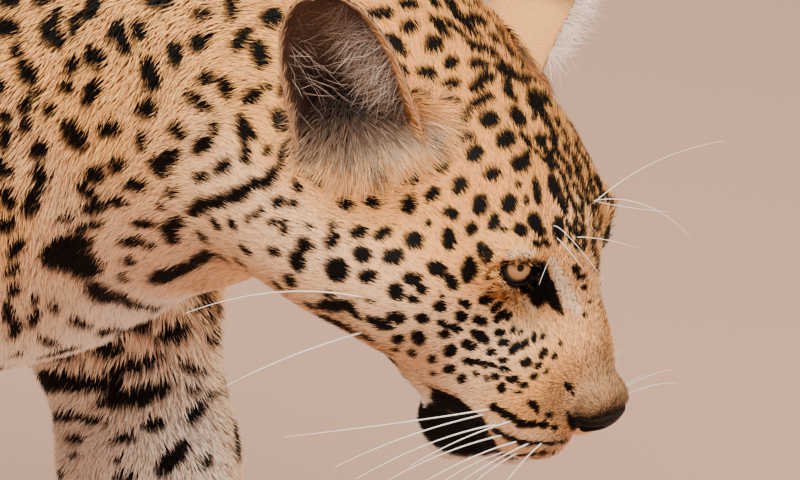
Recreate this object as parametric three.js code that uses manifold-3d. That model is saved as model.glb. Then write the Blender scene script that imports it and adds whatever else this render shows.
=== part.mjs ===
// A life-size adult leopard, walking slowly with its head lowered.
// Millimetres. +X is forward, +Y is the animal's left and +Z is up. The floor is z = 0.
// Every lump of flesh is a rounded form. The forms melt into one body, whose surface is then
// meshed piece by piece and parted with thin plane cuts at the neck, limbs, jaw and tail.
import * as THREE from "three";
import Module from "manifold-3d";
import { mergeVertices } from "three/addons/utils/BufferGeometryUtils.js";

const wasm = await Module();
wasm.setup();

// Driving dimensions
const GAP = 0.4; // between neighbouring pieces
const HEAD_PITCH = THREE.MathUtils.degToRad(32); // muzzle points down from level
const NOSE = new THREE.Vector3(700, 0, 405); // front of the nose
const HEAD_MELT = 46; // how widely head and neck melt together
const HIP_X = -385;
const SHOULDER_X = 335;
const FORELEG_Y = 82;
const HINDLEG_Y = 80;
const EYE_RADIUS = 15.5;
const EYE = [-83, 35, 50]; // eyeball centre in the head's frame; y is mirrored
const TAIL_RADIUS = 30;

// Grid cells that the surfaces are meshed with, finest on the head and across the toes
const CELLS = {
  head: [14.2, 14.2, 14.2],
  neck: [30, 30, 30],
  trunk: [60, 36, 40],
  upper: [40, 27, 38],
  middle: [32, 22, 46],
  paw: [25, 11.5, 27],
};

// Forms, each a signed distance that is negative inside, with the width over which it melts in
const clamp01 = (t) => Math.min(1, Math.max(0, t));

function melt(a, b, width) {
  const h = Math.max(width - Math.abs(a - b), 0) / width;
  return Math.min(a, b) - h * h * width * 0.25;
}

// A rounded limb from a to b, with a radius at each end; flat narrows it from side to side.
function limb(a, b, ra, rb, melting = 30, flat = 1) {
  const start = new THREE.Vector3(...a);
  const along = new THREE.Vector3(...b).sub(start);
  const squared = along.lengthSq();
  const middle = (a[1] + b[1]) / 2;
  return {
    melting,
    distance(x, y, z) {
      const sideways = middle + (y - middle) / flat;
      const dx = x - start.x;
      const dy = sideways - start.y;
      const dz = z - start.z;
      const t = clamp01((dx * along.x + dy * along.y + dz * along.z) / squared);
      const away = Math.hypot(dx - t * along.x, dy - t * along.y, dz - t * along.z);
      return (away - ra - t * (rb - ra)) * Math.min(1, flat);
    },
  };
}

// An egg-shaped form with three radii, pitched nose down by an angle in degrees and yawed to the left.
function egg(centre, radii, melting = 30, pitchDeg = 0, yawDeg = 0) {
  const turn = new THREE.Matrix4()
    .makeRotationZ(THREE.MathUtils.degToRad(yawDeg))
    .multiply(new THREE.Matrix4().makeRotationY(THREE.MathUtils.degToRad(pitchDeg)))
    .transpose();
  const e = turn.elements;
  const [rx, ry, rz] = radii;
  return {
    melting,
    distance(x, y, z) {
      const dx = x - centre[0];
      const dy = y - centre[1];
      const dz = z - centre[2];
      const px = (e[0] * dx + e[4] * dy + e[8] * dz) / rx;
      const py = (e[1] * dx + e[5] * dy + e[9] * dz) / ry;
      const pz = (e[2] * dx + e[6] * dy + e[10] * dz) / rz;
      const k0 = Math.hypot(px, py, pz);
      const k1 = Math.hypot(px / rx, py / ry, pz / rz);
      return k1 < 1e-9 ? -Math.min(rx, ry, rz) : (k0 * (k0 - 1)) / k1;
    },
  };
}

// A limb of several lengths through points [x, y, z, radius].
function chain(points, melting = 30, flat = 1) {
  return points.slice(1).map((b, i) => {
    const a = points[i];
    return limb(a.slice(0, 3), b.slice(0, 3), a[3], b[3], melting, flat);
  });
}

const bothSides = (make) => [-1, 1].flatMap((side) => make(side));

function unionOf(forms) {
  return (x, y, z) => {
    let d = 1e6;
    for (const form of forms) {
      const next = form.distance(x, y, z);
      if (next - form.melting < d) d = melt(d, next, form.melting);
    }
    return d;
  };
}

// The head's own frame: x runs forward along the muzzle, z out of the forehead, from the front of the nose.
const cosPitch = Math.cos(HEAD_PITCH);
const sinPitch = Math.sin(HEAD_PITCH);
const headToBody = new THREE.Matrix4()
  .makeTranslation(NOSE)
  .multiply(new THREE.Matrix4().makeRotationY(HEAD_PITCH));

function inHead(forms) {
  const field = unionOf(forms);
  return (x, y, z) => {
    const dx = x - NOSE.x;
    const dz = z - NOSE.z;
    return field(cosPitch * dx - sinPitch * dz, y, sinPitch * dx + cosPitch * dz);
  };
}

// Head
const headField = inHead([
  egg([-150, 0, 30], [88, 70, 70], 20, 8),
  egg([-112, 0, 51], [58, 49, 37], 26, 28),
  egg([-198, 0, 36], [64, 72, 66], 34),
  // bridge of the nose, flat on top and widening upwards
  ...chain([[-21, 0, -1, 17], [-46, 0, 14.5, 20], [-82, 0, 45, 28]], 12),
  egg([-12, 0, -3], [13, 19, 15], 8, 20),
  ...bothSides((s) => [
    // whisker pads and the side of the muzzle
    egg([-34, s * 20, -22.5], [26, 20, 20], 12, 12, s * -14),
    egg([-54, s * 25, -20], [34, 20, 26], 14, 8, s * -10),
    limb([-52, s * 20, -6], [-104, s * 43, 4], 24, 28, 20),
    // brow ridge, cheekbone and cheek
    egg([-89, s * 27, 62], [17, 15, 10], 14, 24, s * 24),
    egg([-112, s * 48, 18], [38, 20, 22], 22, -6, s * -34),
    egg([-138, s * 50, -2], [50, 30, 32], 24, 0, s * -10),
    egg([-176, s * 50, -1], [46, 30, 37], 26),
    // lower jaw
    limb([-44, s * 9, -48.5], [-88, s * 28, -32], 18, 14.5, 16),
    limb([-86, s * 27, -28], [-146, s * 38, -20], 13.5, 19, 20),
    // the loose lip at the corner of the mouth
    egg([-62, s * 27, -56], [19, 13, 18], 12, 2),
    // the swelling under each ear's root
    egg([-168, s * 50, 52], [34, 22, 26], 24),
  ]),
  egg([-45, 0, -47], [20, 18, 17], 12),
]);

// Trunk, neck and tail, one behind the other
const torso = [
  egg([200, 0, 492], [235, 103, 150], 40, 2),
  egg([20, 0, 505], [260, 104, 128], 50),
  egg([-60, 0, 462], [230, 92, 104], 50, 3),
  ...chain([[260, 0, 570, 66], [60, 0, 560, 70], [-180, 0, 568, 72], [-380, 0, 560, 74]], 60),
  egg([HIP_X - 5, 0, 530], [112, 88, 104], 60, 12),
  // shoulder blades stand up on each side of the spine
  ...bothSides((s) => [limb([262, s * 46, 612], [325, s * 74, 500], 38, 64, 50)]),
  // breast and throat
  egg([352, 0, 452], [70, 74, 70], 50, 18),
  limb([330, 0, 504], [420, 0, 526], 124, 104, 50, 0.88),
  limb([415, 0, 528], [522, 0, 536], 104, 78, 40, 0.98),
];

const TAIL = [
  [-430, 0, 565, 44],
  [-490, 0, 540, 35],
  [-545, 0, 488, TAIL_RADIUS],
  [-590, 4, 420, 28],
  [-635, 12, 350, 27],
  [-690, 24, 285, 26],
  [-760, 38, 238, 25],
  [-840, 50, 214, 25],
  [-920, 58, 220, 24],
  [-990, 60, 252, 23],
  [-1042, 58, 302, 21],
  [-1064, 56, 346, 17],
];
const tail = chain(TAIL, 22);
const TAIL_LINE = new THREE.CatmullRomCurve3(TAIL.map(([x, y, z]) => new THREE.Vector3(x, y, z)));
const TAIL_ROOT = 0.128; // where it leaves the trunk, as a share of its line
const TAIL_CUTS = [0.42, 0.74];

// Legs. Each is a list of joints; toes are four small eggs.
function paw(x, y, spread, length) {
  const toes = [-1.5, -0.5, 0.5, 1.5].map((i) =>
    egg([x + length * (0.34 - 0.05 * i * i), y + i * spread, 19], [24, spread * 0.6, 20], 7),
  );
  return [
    egg([x - 8, y, 20], [length * 0.46, spread * 2.2, 25], 14),
    egg([x - 2, y, 32], [length * 0.4, spread * 1.6, 20], 16, 14),
    ...toes,
  ];
}

function foreleg(side, elbowX, wristX, pawX) {
  const y = side * FORELEG_Y;
  const between = (t) => elbowX + (wristX - elbowX) * t;
  return {
    forms: [
      limb([SHOULDER_X, side * 72, 455], [elbowX + 4, side * 80, 372], 76, 57, 40, 0.8),
      limb([SHOULDER_X - 60, side * 72, 480], [elbowX - 30, side * 80, 374], 60, 46, 40, 0.8),
      ...chain(
        [
          [elbowX + 2, y, 362, 52],
          [between(0.35), y, 270, 45],
          [between(0.72), y, 175, 34],
          [wristX, y, 98, 31],
          [wristX + (pawX - wristX) * 0.4, y, 58, 31],
        ],
        22,
      ),
      egg([elbowX - 38, y, 368], [22, 20, 32], 20),
      ...paw(pawX, y, 22, 108),
    ],
    y,
    block: [elbowX - 72, SHOULDER_X + 115],
  };
}

function hindleg(side, kneeX, hockX, pawX) {
  const y = side * HINDLEG_Y;
  const between = (t) => kneeX + (hockX - kneeX) * t;
  return {
    forms: [
      // thigh, hamstrings and the fold of the flank
      limb([HIP_X + 8, side * 54, 522], [kneeX - 14, side * 74, 385], 98, 66, 50, 0.74),
      limb([HIP_X - 58, side * 50, 500], [kneeX - 84, side * 74, 338], 62, 42, 40, 0.74),
      limb([HIP_X + 110, side * 62, 470], [kneeX + 2, side * 76, 362], 46, 50, 40, 0.7),
      ...chain(
        [
          [kneeX - 6, side * 78, 352, 54],
          [between(0.4), y, 286, 48],
          [between(0.75), y, 226, 34],
          [hockX + 8, y, 190, 27],
        ],
        28,
      ),
      egg([hockX - 8, y, 180], [20, 17, 26], 14, 30),
      ...chain(
        [
          [hockX + 2, y, 178, 26],
          [hockX + (pawX - hockX) * 0.5, y, 106, 25],
          [pawX - 20, y, 46, 27],
        ],
        16,
      ),
      ...paw(pawX, y, 20, 102),
    ],
    y,
    block: [HIP_X - 125, kneeX + 66],
  };
}

const legs = {
  foreleg_left: foreleg(1, 340, 394, 424),
  foreleg_right: foreleg(-1, 250, 190, 208),
  hindleg_left: hindleg(1, -326, -490, -462),
  hindleg_right: hindleg(-1, -272, -400, -358),
};

const torsoAndLimbs = unionOf([
  ...torso,
  ...tail,
  ...Object.values(legs).flatMap((leg) => leg.forms),
]);
const body = (x, y, z) => melt(torsoAndLimbs(x, y, z), headField(x, y, z), HEAD_MELT);

// A cell's twelve edges are numbered 4 * axis + p + 2 * q, where p and q are the offsets on the next
// two axes. Edges that the surface crosses belong to one sheet when a face of the cell joins them.
function sheetsOf(corner) {
  const crosses = (axis, p, q) => {
    const start = [0, 0, 0];
    start[(axis + 1) % 3] = p;
    start[(axis + 2) % 3] = q;
    const end = [...start];
    end[axis] = 1;
    return corner(...start) < 0 !== corner(...end) < 0;
  };
  const sheet = Array.from({ length: 12 }, (_, e) => (crosses(e >> 2, e & 1, (e >> 1) & 1) ? e : -1));
  const join = (a, b) => {
    const [from, to] = [sheet[a], sheet[b]];
    for (let e = 0; e < 12; e++) if (sheet[e] === from) sheet[e] = to;
  };
  for (let axis = 0; axis < 3; axis++)
    for (const side of [0, 1]) {
      const u = (axis + 1) % 3;
      const v = (axis + 2) % 3;
      const alongU = [u * 4 + 2 * side, u * 4 + 1 + 2 * side];
      const alongV = [v * 4 + side, v * 4 + side + 2];
      const crossed = [...alongU, ...alongV].filter((e) => sheet[e] >= 0);
      if (crossed.length === 2) join(...crossed);
      if (crossed.length === 4)
        for (const a of [0, 1])
          for (const b of [0, 1]) {
            const at = [0, 0, 0];
            at[axis] = side;
            at[u] = a;
            at[v] = b;
            if (corner(...at) < 0) join(alongU[b], alongV[a]);
          }
    }
  return sheet;
}

// The surface of a field inside a box, with one vertex for each sheet of it in each grid cell.
function surface(field, low, high, cell) {
  const count = low.map((l, i) => Math.ceil((high[i] - l) / cell[i]) + 1);
  const [nx, ny, nz] = count;
  const at = (i, j, k) => (k * ny + j) * nx + i;
  const value = new Float32Array(nx * ny * nz);
  for (let k = 0; k < nz; k++)
    for (let j = 0; j < ny; j++)
      for (let i = 0; i < nx; i++) {
        const edge = i === 0 || j === 0 || k === 0 || i === nx - 1 || j === ny - 1 || k === nz - 1;
        const d = field(low[0] + i * cell[0], low[1] + j * cell[1], low[2] + k * cell[2]);
        value[at(i, j, k)] = edge ? Math.max(d, 0.5) : d;
      }
  const vertex = new Int32Array(nx * ny * nz * 12).fill(-1);
  const points = [];
  for (let k = 0; k < nz - 1; k++)
    for (let j = 0; j < ny - 1; j++)
      for (let i = 0; i < nx - 1; i++) {
        const corner = (a, b, c) => value[at(i + a, j + b, k + c)];
        const sheet = sheetsOf(corner);
        for (const id of new Set(sheet)) {
          if (id < 0) continue;
          const sum = [0, 0, 0];
          let crossings = 0;
          for (let e = 0; e < 12; e++) {
            if (sheet[e] !== id) continue;
            const axis = e >> 2;
            const start = [0, 0, 0];
            start[(axis + 1) % 3] = e & 1;
            start[(axis + 2) % 3] = (e >> 1) & 1;
            const end = [...start];
            end[axis] = 1;
            const va = corner(...start);
            const t = va / (va - corner(...end));
            for (let n = 0; n < 3; n++) sum[n] += start[n] + t * (end[n] - start[n]);
            crossings++;
            vertex[at(i, j, k) * 12 + e] = points.length / 3;
          }
          [i, j, k].forEach((base, n) => points.push(low[n] + (base + sum[n] / crossings) * cell[n]));
        }
      }
  const faces = [];
  for (let k = 0; k < nz - 1; k++)
    for (let j = 0; j < ny - 1; j++)
      for (let i = 0; i < nx - 1; i++)
        for (let axis = 0; axis < 3; axis++) {
          const step = (n) => (n === axis ? 1 : 0);
          const va = value[at(i, j, k)];
          const vb = value[at(i + step(0), j + step(1), k + step(2))];
          if (va < 0 === vb < 0) continue;
          const back = (n, p, q) => (n === (axis + 1) % 3 ? p : n === (axis + 2) % 3 ? q : 0);
          const corner = (p, q) =>
            vertex[at(i - back(0, p, q), j - back(1, p, q), k - back(2, p, q)) * 12 + axis * 4 + p + 2 * q];
          const quad = [corner(1, 1), corner(0, 1), corner(0, 0), corner(1, 0)];
          if (va >= 0) quad.reverse();
          faces.push(quad[0], quad[1], quad[2], quad[0], quad[2], quad[3]);
        }
  return { points: settle(field, points, Math.min(...cell)), faces };
}

// Moves the vertices onto the surface itself, each by no more than part of a cell.
function settle(field, points, cell) {
  const h = 0.5;
  for (let round = 0; round < 3; round++)
    for (let n = 0; n < points.length; n += 3) {
      const [x, y, z] = points.slice(n, n + 3);
      const d = field(x, y, z);
      if (Math.abs(d) > cell * 0.6) continue;
      const gx = (field(x + h, y, z) - field(x - h, y, z)) / (2 * h);
      const gy = (field(x, y + h, z) - field(x, y - h, z)) / (2 * h);
      const gz = (field(x, y, z + h) - field(x, y, z - h)) / (2 * h);
      const g = Math.max(gx * gx + gy * gy + gz * gz, 0.25);
      points[n] -= (d * gx) / g;
      points[n + 1] -= (d * gy) / g;
      points[n + 2] -= (d * gz) / g;
    }
  return points;
}

// Solids
const solidFrom = ({ points, faces }) =>
  new wasm.Manifold(
    new wasm.Mesh({
      numProp: 3,
      vertProperties: new Float32Array(points),
      triVerts: new Uint32Array(faces),
    }),
  );

function solidOf(geometry, matrix) {
  const plain = new THREE.BufferGeometry()
    .setAttribute("position", geometry.getAttribute("position"))
    .setIndex(geometry.index);
  if (matrix) plain.applyMatrix4(matrix);
  const merged = mergeVertices(plain, 1e-3);
  return solidFrom({
    points: merged.getAttribute("position").array,
    faces: merged.index.array,
  });
}

const meshed = (field, low, high, cell) => solidFrom(surface(field, low, high, cell));

// A huge block that fills the side of a plane that the normal points to, starting half a gap past it.
const HUGE = 4000;
function halfSpace(point, normal) {
  const out = new THREE.Vector3(...normal).normalize();
  const centre = new THREE.Vector3(...point).addScaledVector(out, HUGE / 2 + GAP / 2);
  const turn = new THREE.Quaternion().setFromUnitVectors(new THREE.Vector3(0, 0, 1), out);
  const matrix = new THREE.Matrix4().compose(centre, turn, new THREE.Vector3(1, 1, 1));
  return solidOf(new THREE.BoxGeometry(HUGE, HUGE, HUGE), matrix);
}

const opposite = (normal) => normal.map((n) => -n);
const largest = (solid) =>
  solid.decompose().reduce((best, piece) => (piece.volume() > best.volume() ? piece : best));
const within = (solid, ...halves) =>
  largest(halves.reduce((rest, [point, normal]) => rest.intersect(halfSpace(point, normal)), solid));

function ellipsoid(centre, radii, matrix, across = 22, down = 15) {
  const shape = new THREE.SphereGeometry(1, across, down).scale(...radii).translate(...centre);
  return solidOf(shape, matrix);
}

// Cut planes: a point and the normal that points towards the piece farther from the trunk
const NECK_FRONT = [[474, 0, 500], [1, 0, -0.12]];
const NECK_BACK = [[384, 0, 500], [1, 0, -0.2]];
const TAIL_BASE = [
  TAIL_LINE.getPointAt(TAIL_ROOT).toArray(),
  TAIL_LINE.getTangentAt(TAIL_ROOT).toArray(),
];

const beforeIt = ([point, normal]) => [point, opposite(normal)];

// Head pieces
const HEAD_BOX = [
  [430, -130, 300],
  [730, 130, 640],
];
const headMesh = meshed(body, ...HEAD_BOX, CELLS.head);
const eyes = {
  eye_right: [EYE[0], -EYE[1], EYE[2]],
  eye_left: EYE,
};
const eyeBall = (centre, radius) => ellipsoid(centre, [radius, radius, radius], headToBody, 12, 8);

// The lower jaw is what this block holds, and the nose pad what an egg at the nose holds.
const JAW_BLOCK = { size: [110, 130, 60], centre: [-45, 0, -70], pitch: 0.14 };
const NOSE_EGG = { centre: [-2, 0, -2], radii: [15, 22, 13] };
function jawBlock(grow) {
  const [sx, sy, sz] = JAW_BLOCK.size;
  const matrix = headToBody
    .clone()
    .multiply(new THREE.Matrix4().makeTranslation(...JAW_BLOCK.centre))
    .multiply(new THREE.Matrix4().makeRotationY(JAW_BLOCK.pitch));
  return solidOf(new THREE.BoxGeometry(sx + grow, sy + grow, sz + grow), matrix);
}
const noseEgg = (grow) =>
  ellipsoid(NOSE_EGG.centre, NOSE_EGG.radii.map((r) => r + grow), headToBody, 14, 9);

const wholeHead = within(headMesh, NECK_FRONT);
const head = largest(
  [
    jawBlock(2 * GAP),
    noseEgg(GAP),
    ...Object.values(eyes).map((centre) => eyeBall(centre, EYE_RADIUS + GAP)),
  ].reduce((rest, cutter) => rest.subtract(cutter), wholeHead),
);
const lowerJaw = largest(wholeHead.subtract(noseEgg(GAP)).intersect(jawBlock(0)));
const nosePad = largest(wholeHead.intersect(noseEgg(0)));

// Ear: a rounded cup, open to the side and forward. Its own frame has x across from the back rim to
// the front rim, y out of the opening, z up to the tip.
const EAR = {
  height: 111,
  sunk: 0.16, // share of the height below the root
  halfWidth: 34,
  taper: 0.14,
  roundness: 4.4, // of the tip
  depth: 27,
  swing: 1.42, // from the middle of the back to a rim, in radians
  wall: 5.5,
  rows: 7,
  columns: 8,
  root: [-169, 74, 69],
  up: { right: [-0.577, 0.26, 0.776], left: [-0.35, 0.6, 0.776] }, // the left ear is turned out
  open: [0.42, 0.87, 0.12],
};
function earShell() {
  const points = [];
  const point = (u, v, inner) => {
    const round = Math.sqrt(1 - Math.pow(u, EAR.roundness));
    const wide = EAR.halfWidth * (1 - EAR.taper * u) * round;
    const swing = v * EAR.swing;
    const deep = EAR.depth * (wide / EAR.halfWidth) * (1 - 0.35 * u);
    const rim = Math.sqrt(Math.max(0, 1 - v * v));
    const wall = inner * EAR.wall * (0.35 + 0.65 * rim) * (1 - 0.45 * u);
    return [
      (wide - wall * 0.8) * Math.sin(swing),
      -(deep - wall) * Math.cos(swing) + 10 * u * u,
      EAR.height * (u - EAR.sunk) - wall * 0.5 * u,
    ];
  };
  const { rows, columns } = EAR;
  for (const inner of [0, 1])
    for (let r = 0; r <= rows; r++)
      for (let c = 0; c <= columns; c++) {
        const u = Math.pow(r / rows, 0.8);
        points.push(...point(Math.min(u, 0.995), (2 * c) / columns - 1, inner));
      }
  const id = (inner, r, c) => (inner * (rows + 1) + r) * (columns + 1) + c;
  const faces = [];
  const quad = (a, b, c, d) => faces.push(a, b, c, a, c, d);
  for (let r = 0; r < rows; r++)
    for (let c = 0; c < columns; c++) {
      quad(id(0, r, c), id(0, r, c + 1), id(0, r + 1, c + 1), id(0, r + 1, c));
      quad(id(1, r, c), id(1, r + 1, c), id(1, r + 1, c + 1), id(1, r, c + 1));
    }
  for (let c = 0; c < columns; c++) {
    quad(id(0, rows, c), id(0, rows, c + 1), id(1, rows, c + 1), id(1, rows, c));
    quad(id(0, 0, c + 1), id(0, 0, c), id(1, 0, c), id(1, 0, c + 1));
  }
  for (let r = 0; r < rows; r++) {
    quad(id(0, r + 1, 0), id(1, r + 1, 0), id(1, r, 0), id(0, r, 0));
    quad(id(0, r, columns), id(1, r, columns), id(1, r + 1, columns), id(0, r + 1, columns));
  }
  return { points, faces };
}

function placedEar(side) {
  const { points, faces } = earShell();
  const mirrored = ([x, y, z]) => new THREE.Vector3(x, side * y, z);
  const up = mirrored(side < 0 ? EAR.up.right : EAR.up.left).normalize();
  const open = mirrored(EAR.open);
  open.addScaledVector(up, -open.dot(up)).normalize();
  const across = new THREE.Vector3().crossVectors(open, up);
  const frame = new THREE.Matrix4().makeBasis(across, open, up).setPosition(mirrored(EAR.root));
  const geometry = new THREE.BufferGeometry()
    .setAttribute("position", new THREE.Float32BufferAttribute(points, 3))
    .setIndex(faces);
  return solidOf(geometry, headToBody.clone().multiply(frame));
}

const headSkirt = meshed((x, y, z) => body(x, y, z) - GAP, ...HEAD_BOX, CELLS.head);
const ear = (side) => largest(placedEar(side).subtract(headSkirt));

// Trunk and neck
const trunkMesh = meshed(body, [-660, -180, 250], [500, 180, 720], CELLS.trunk);
const neckMesh = meshed(body, [320, -160, 330], [530, 160, 680], CELLS.neck);

// Each leg's upper length is cut from the trunk by a slanting plane, and everything lower hangs
// below a level plane at its elbow or knee.
const LEG_PLANES = {
  foreleg: { y: 72, z: 395, slope: [0.74, -0.67] },
  hindleg: { y: 74, z: 430, slope: [0.8, -0.6] },
};
const LEG_LEVELS = { foreleg: [332, 92], hindleg: [352, 166] };
const LEG_NAMES = {
  foreleg: ["upper_arm", "forearm", "fore_paw"],
  hindleg: ["thigh", "shank", "hind_paw"],
};
const level = (z) => [[0, 0, z], [0, 0, 1]];

// The space that a leg's upper length takes, grown on all sides by an amount.
function legBlock(name, grown = 0) {
  const [kind, side] = name.split("_");
  const [low, high] = legs[name].block;
  const { y, z, slope } = LEG_PLANES[kind];
  const [ny, nz] = slope;
  const shift = grown / Math.hypot(ny, nz);
  const mirror = side === "left" ? 1 : -1;
  return within(
    halfSpace([0, mirror * (y - shift * ny), z - shift * nz], [0, mirror * ny, nz]),
    [[low - grown, 0, 0], [1, 0, 0]],
    [[high + grown, 0, 0], [-1, 0, 0]],
  );
}

function withoutLegs(solid) {
  return Object.keys(legs).reduce((rest, name) => rest.subtract(legBlock(name, GAP)), solid);
}

// What hangs under the rump below the knees' level belongs to the hind legs.
const BELLY_END_X = -180;
const underRump = within(
  halfSpace([0, 0, LEG_LEVELS.hindleg[0] + GAP], [0, 0, -1]),
  [[BELLY_END_X, 0, 0], [-1, 0, 0]],
);
const trunk = largest(
  withoutLegs(
    within(trunkMesh, beforeIt(NECK_BACK), beforeIt(TAIL_BASE), level(LEG_LEVELS.foreleg[0])),
  ).subtract(underRump),
);
const neck = largest(
  withoutLegs(within(neckMesh, NECK_BACK, beforeIt(NECK_FRONT), level(LEG_LEVELS.foreleg[0]))),
);

// Legs, each in three lengths
const LEG_REACH = { foreleg: [80, 520], hindleg: [-600, -150] };
function legPieces(name, leg) {
  const [kind, side] = name.split("_");
  const [low, high] = LEG_REACH[kind];
  const [right, left] = leg.y > 0 ? [4, 190] : [-190, -4];
  const box = (bottom, top) => [
    [low, right, bottom],
    [high, left, top],
  ];
  const [upper, lower] = LEG_LEVELS[kind].map(level);
  const pieces = [
    within(meshed(body, ...box(300, 640), CELLS.upper), upper).intersect(legBlock(name)),
    within(meshed(body, ...box(70, 400), CELLS.middle), beforeIt(upper), lower),
    within(meshed(body, ...box(-14, 220), CELLS.paw), beforeIt(lower), level(-GAP / 2)),
  ];
  return pieces.map((piece, i) => [`${LEG_NAMES[kind][i]}_${side}`, largest(piece)]);
}

// Tail, in three lengths. A sleeve's rings stand square to the tail's line and reach out to its surface.
function reach(from, direction) {
  let [low, high] = [0, 3 * TAIL_RADIUS];
  for (let round = 0; round < 24; round++) {
    const middle = (low + high) / 2;
    const at = from.clone().addScaledVector(direction, middle);
    if (body(at.x, at.y, at.z) < 0) low = middle;
    else high = middle;
  }
  return low;
}

function sleeve(start, end, rings, closesAtTip) {
  const points = [];
  const sides = 10;
  for (let r = 0; r <= rings; r++) {
    const t = start + ((end - start) * r) / rings;
    const centre = TAIL_LINE.getPointAt(t);
    const along = TAIL_LINE.getTangentAt(t);
    const side = new THREE.Vector3().crossVectors(along, new THREE.Vector3(0, 1, 0.2)).normalize();
    const up = new THREE.Vector3().crossVectors(side, along);
    for (let n = 0; n < sides; n++) {
      const angle = (2 * Math.PI * n) / sides;
      const direction = side.clone().multiplyScalar(Math.cos(angle)).addScaledVector(up, Math.sin(angle));
      points.push(...centre.clone().addScaledVector(direction, reach(centre, direction)));
    }
  }
  points.push(...TAIL_LINE.getPointAt(start));
  const last = TAIL_LINE.getPointAt(end);
  const tangent = TAIL_LINE.getTangentAt(end);
  points.push(...(closesAtTip ? last.addScaledVector(tangent, reach(last, tangent)) : last));
  const faces = [];
  const first = (rings + 1) * sides;
  for (let n = 0; n < sides; n++) {
    const m = (n + 1) % sides;
    for (let r = 0; r < rings; r++) {
      const [a, b, c, d] = [r * sides + n, r * sides + m, (r + 1) * sides + m, (r + 1) * sides + n];
      faces.push(a, c, b, a, d, c);
    }
    faces.push(first, n, m, first + 1, rings * sides + m, rings * sides + n);
  }
  return solidFrom({ points, faces });
}

const halfGap = GAP / 2 / TAIL_LINE.getLength();
const sleeves = { rings: 8, tipRings: 7 };
const tailBase = sleeve(TAIL_ROOT + halfGap, TAIL_CUTS[0] - halfGap, sleeves.rings, false);
const tailMiddle = sleeve(TAIL_CUTS[0] + halfGap, TAIL_CUTS[1] - halfGap, sleeves.rings, false);
const tailTip = sleeve(TAIL_CUTS[1] + halfGap, 1, sleeves.tipRings, true);

// Assembly
const FUR = { color: 0xc9a06c, roughness: 0.85, metalness: 0 };
const PALE_FUR = { color: 0xe4d6c4, roughness: 0.85, metalness: 0 };
const EYE_LOOK = { color: 0xb98f4f, roughness: 0.08, metalness: 0 };
const NOSE_LOOK = { color: 0x2c1d1e, roughness: 0.45, metalness: 0 };

const leopard = new THREE.Group();

function add(name, solid, look) {
  const { numProp, vertProperties, triVerts } = solid.getMesh();
  const geometry = new THREE.BufferGeometry();
  const count = vertProperties.length / numProp;
  const positions = new Float32Array(count * 3);
  for (let i = 0; i < count; i++)
    positions.set(vertProperties.subarray(i * numProp, i * numProp + 3), i * 3);
  geometry.setAttribute("position", new THREE.BufferAttribute(positions, 3));
  geometry.setIndex(new THREE.BufferAttribute(triVerts, 1));
  geometry.computeVertexNormals();
  const mesh = new THREE.Mesh(geometry, new THREE.MeshStandardMaterial(look));
  mesh.name = name;
  leopard.add(mesh);
}

add("head", head, FUR);
add("lower_jaw", lowerJaw, PALE_FUR);
add("nose_pad", nosePad, NOSE_LOOK);
for (const [name, centre] of Object.entries(eyes)) add(name, eyeBall(centre, EYE_RADIUS), EYE_LOOK);
add("ear_right", ear(-1), FUR);
add("ear_left", ear(1), FUR);
add("neck", neck, FUR);
add("trunk", trunk, FUR);
for (const [name, leg] of Object.entries(legs))
  for (const [piece, solid] of legPieces(name, leg)) add(piece, solid, FUR);
add("tail_base", tailBase, FUR);
add("tail_middle", tailMiddle, FUR);
add("tail_tip", tailTip, PALE_FUR);

// The origin lies on the floor under the middle of the whole animal.
const middle = new THREE.Box3().setFromObject(leopard).getCenter(new THREE.Vector3());
leopard.position.set(-middle.x, -middle.y, 0);

export default leopard;
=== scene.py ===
# A life-size leopard in its spotted coat, walking slowly with its head lowered.
# Metres. +X is forward, +Y is the animal's left and +Z is up. The floor is z = 0.
import math

import bmesh
import bpy
import numpy as np
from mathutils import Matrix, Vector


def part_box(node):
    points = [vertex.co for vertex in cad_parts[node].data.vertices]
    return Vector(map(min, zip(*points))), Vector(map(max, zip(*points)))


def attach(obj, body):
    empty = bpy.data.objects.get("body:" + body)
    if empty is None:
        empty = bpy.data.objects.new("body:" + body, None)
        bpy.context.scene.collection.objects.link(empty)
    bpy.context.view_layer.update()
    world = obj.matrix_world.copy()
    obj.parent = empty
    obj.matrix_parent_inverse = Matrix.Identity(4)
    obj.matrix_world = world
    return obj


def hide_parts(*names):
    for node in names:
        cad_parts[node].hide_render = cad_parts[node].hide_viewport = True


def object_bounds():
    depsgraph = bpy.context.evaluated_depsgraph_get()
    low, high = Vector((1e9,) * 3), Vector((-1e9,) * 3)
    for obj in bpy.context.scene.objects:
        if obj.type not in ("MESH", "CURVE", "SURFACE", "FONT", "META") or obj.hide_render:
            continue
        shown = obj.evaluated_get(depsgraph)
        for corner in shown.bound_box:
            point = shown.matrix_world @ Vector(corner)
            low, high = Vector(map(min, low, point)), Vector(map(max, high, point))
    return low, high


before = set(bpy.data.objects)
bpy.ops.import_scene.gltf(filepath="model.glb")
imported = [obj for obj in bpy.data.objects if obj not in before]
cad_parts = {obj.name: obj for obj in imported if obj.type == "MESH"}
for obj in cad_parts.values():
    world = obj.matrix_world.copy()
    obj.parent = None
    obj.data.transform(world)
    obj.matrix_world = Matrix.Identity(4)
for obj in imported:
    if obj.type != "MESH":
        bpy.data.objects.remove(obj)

import openvdb
from mathutils import Matrix, Vector, kdtree

cad_low, cad_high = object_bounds()
chance = np.random.default_rng(20)

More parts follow.
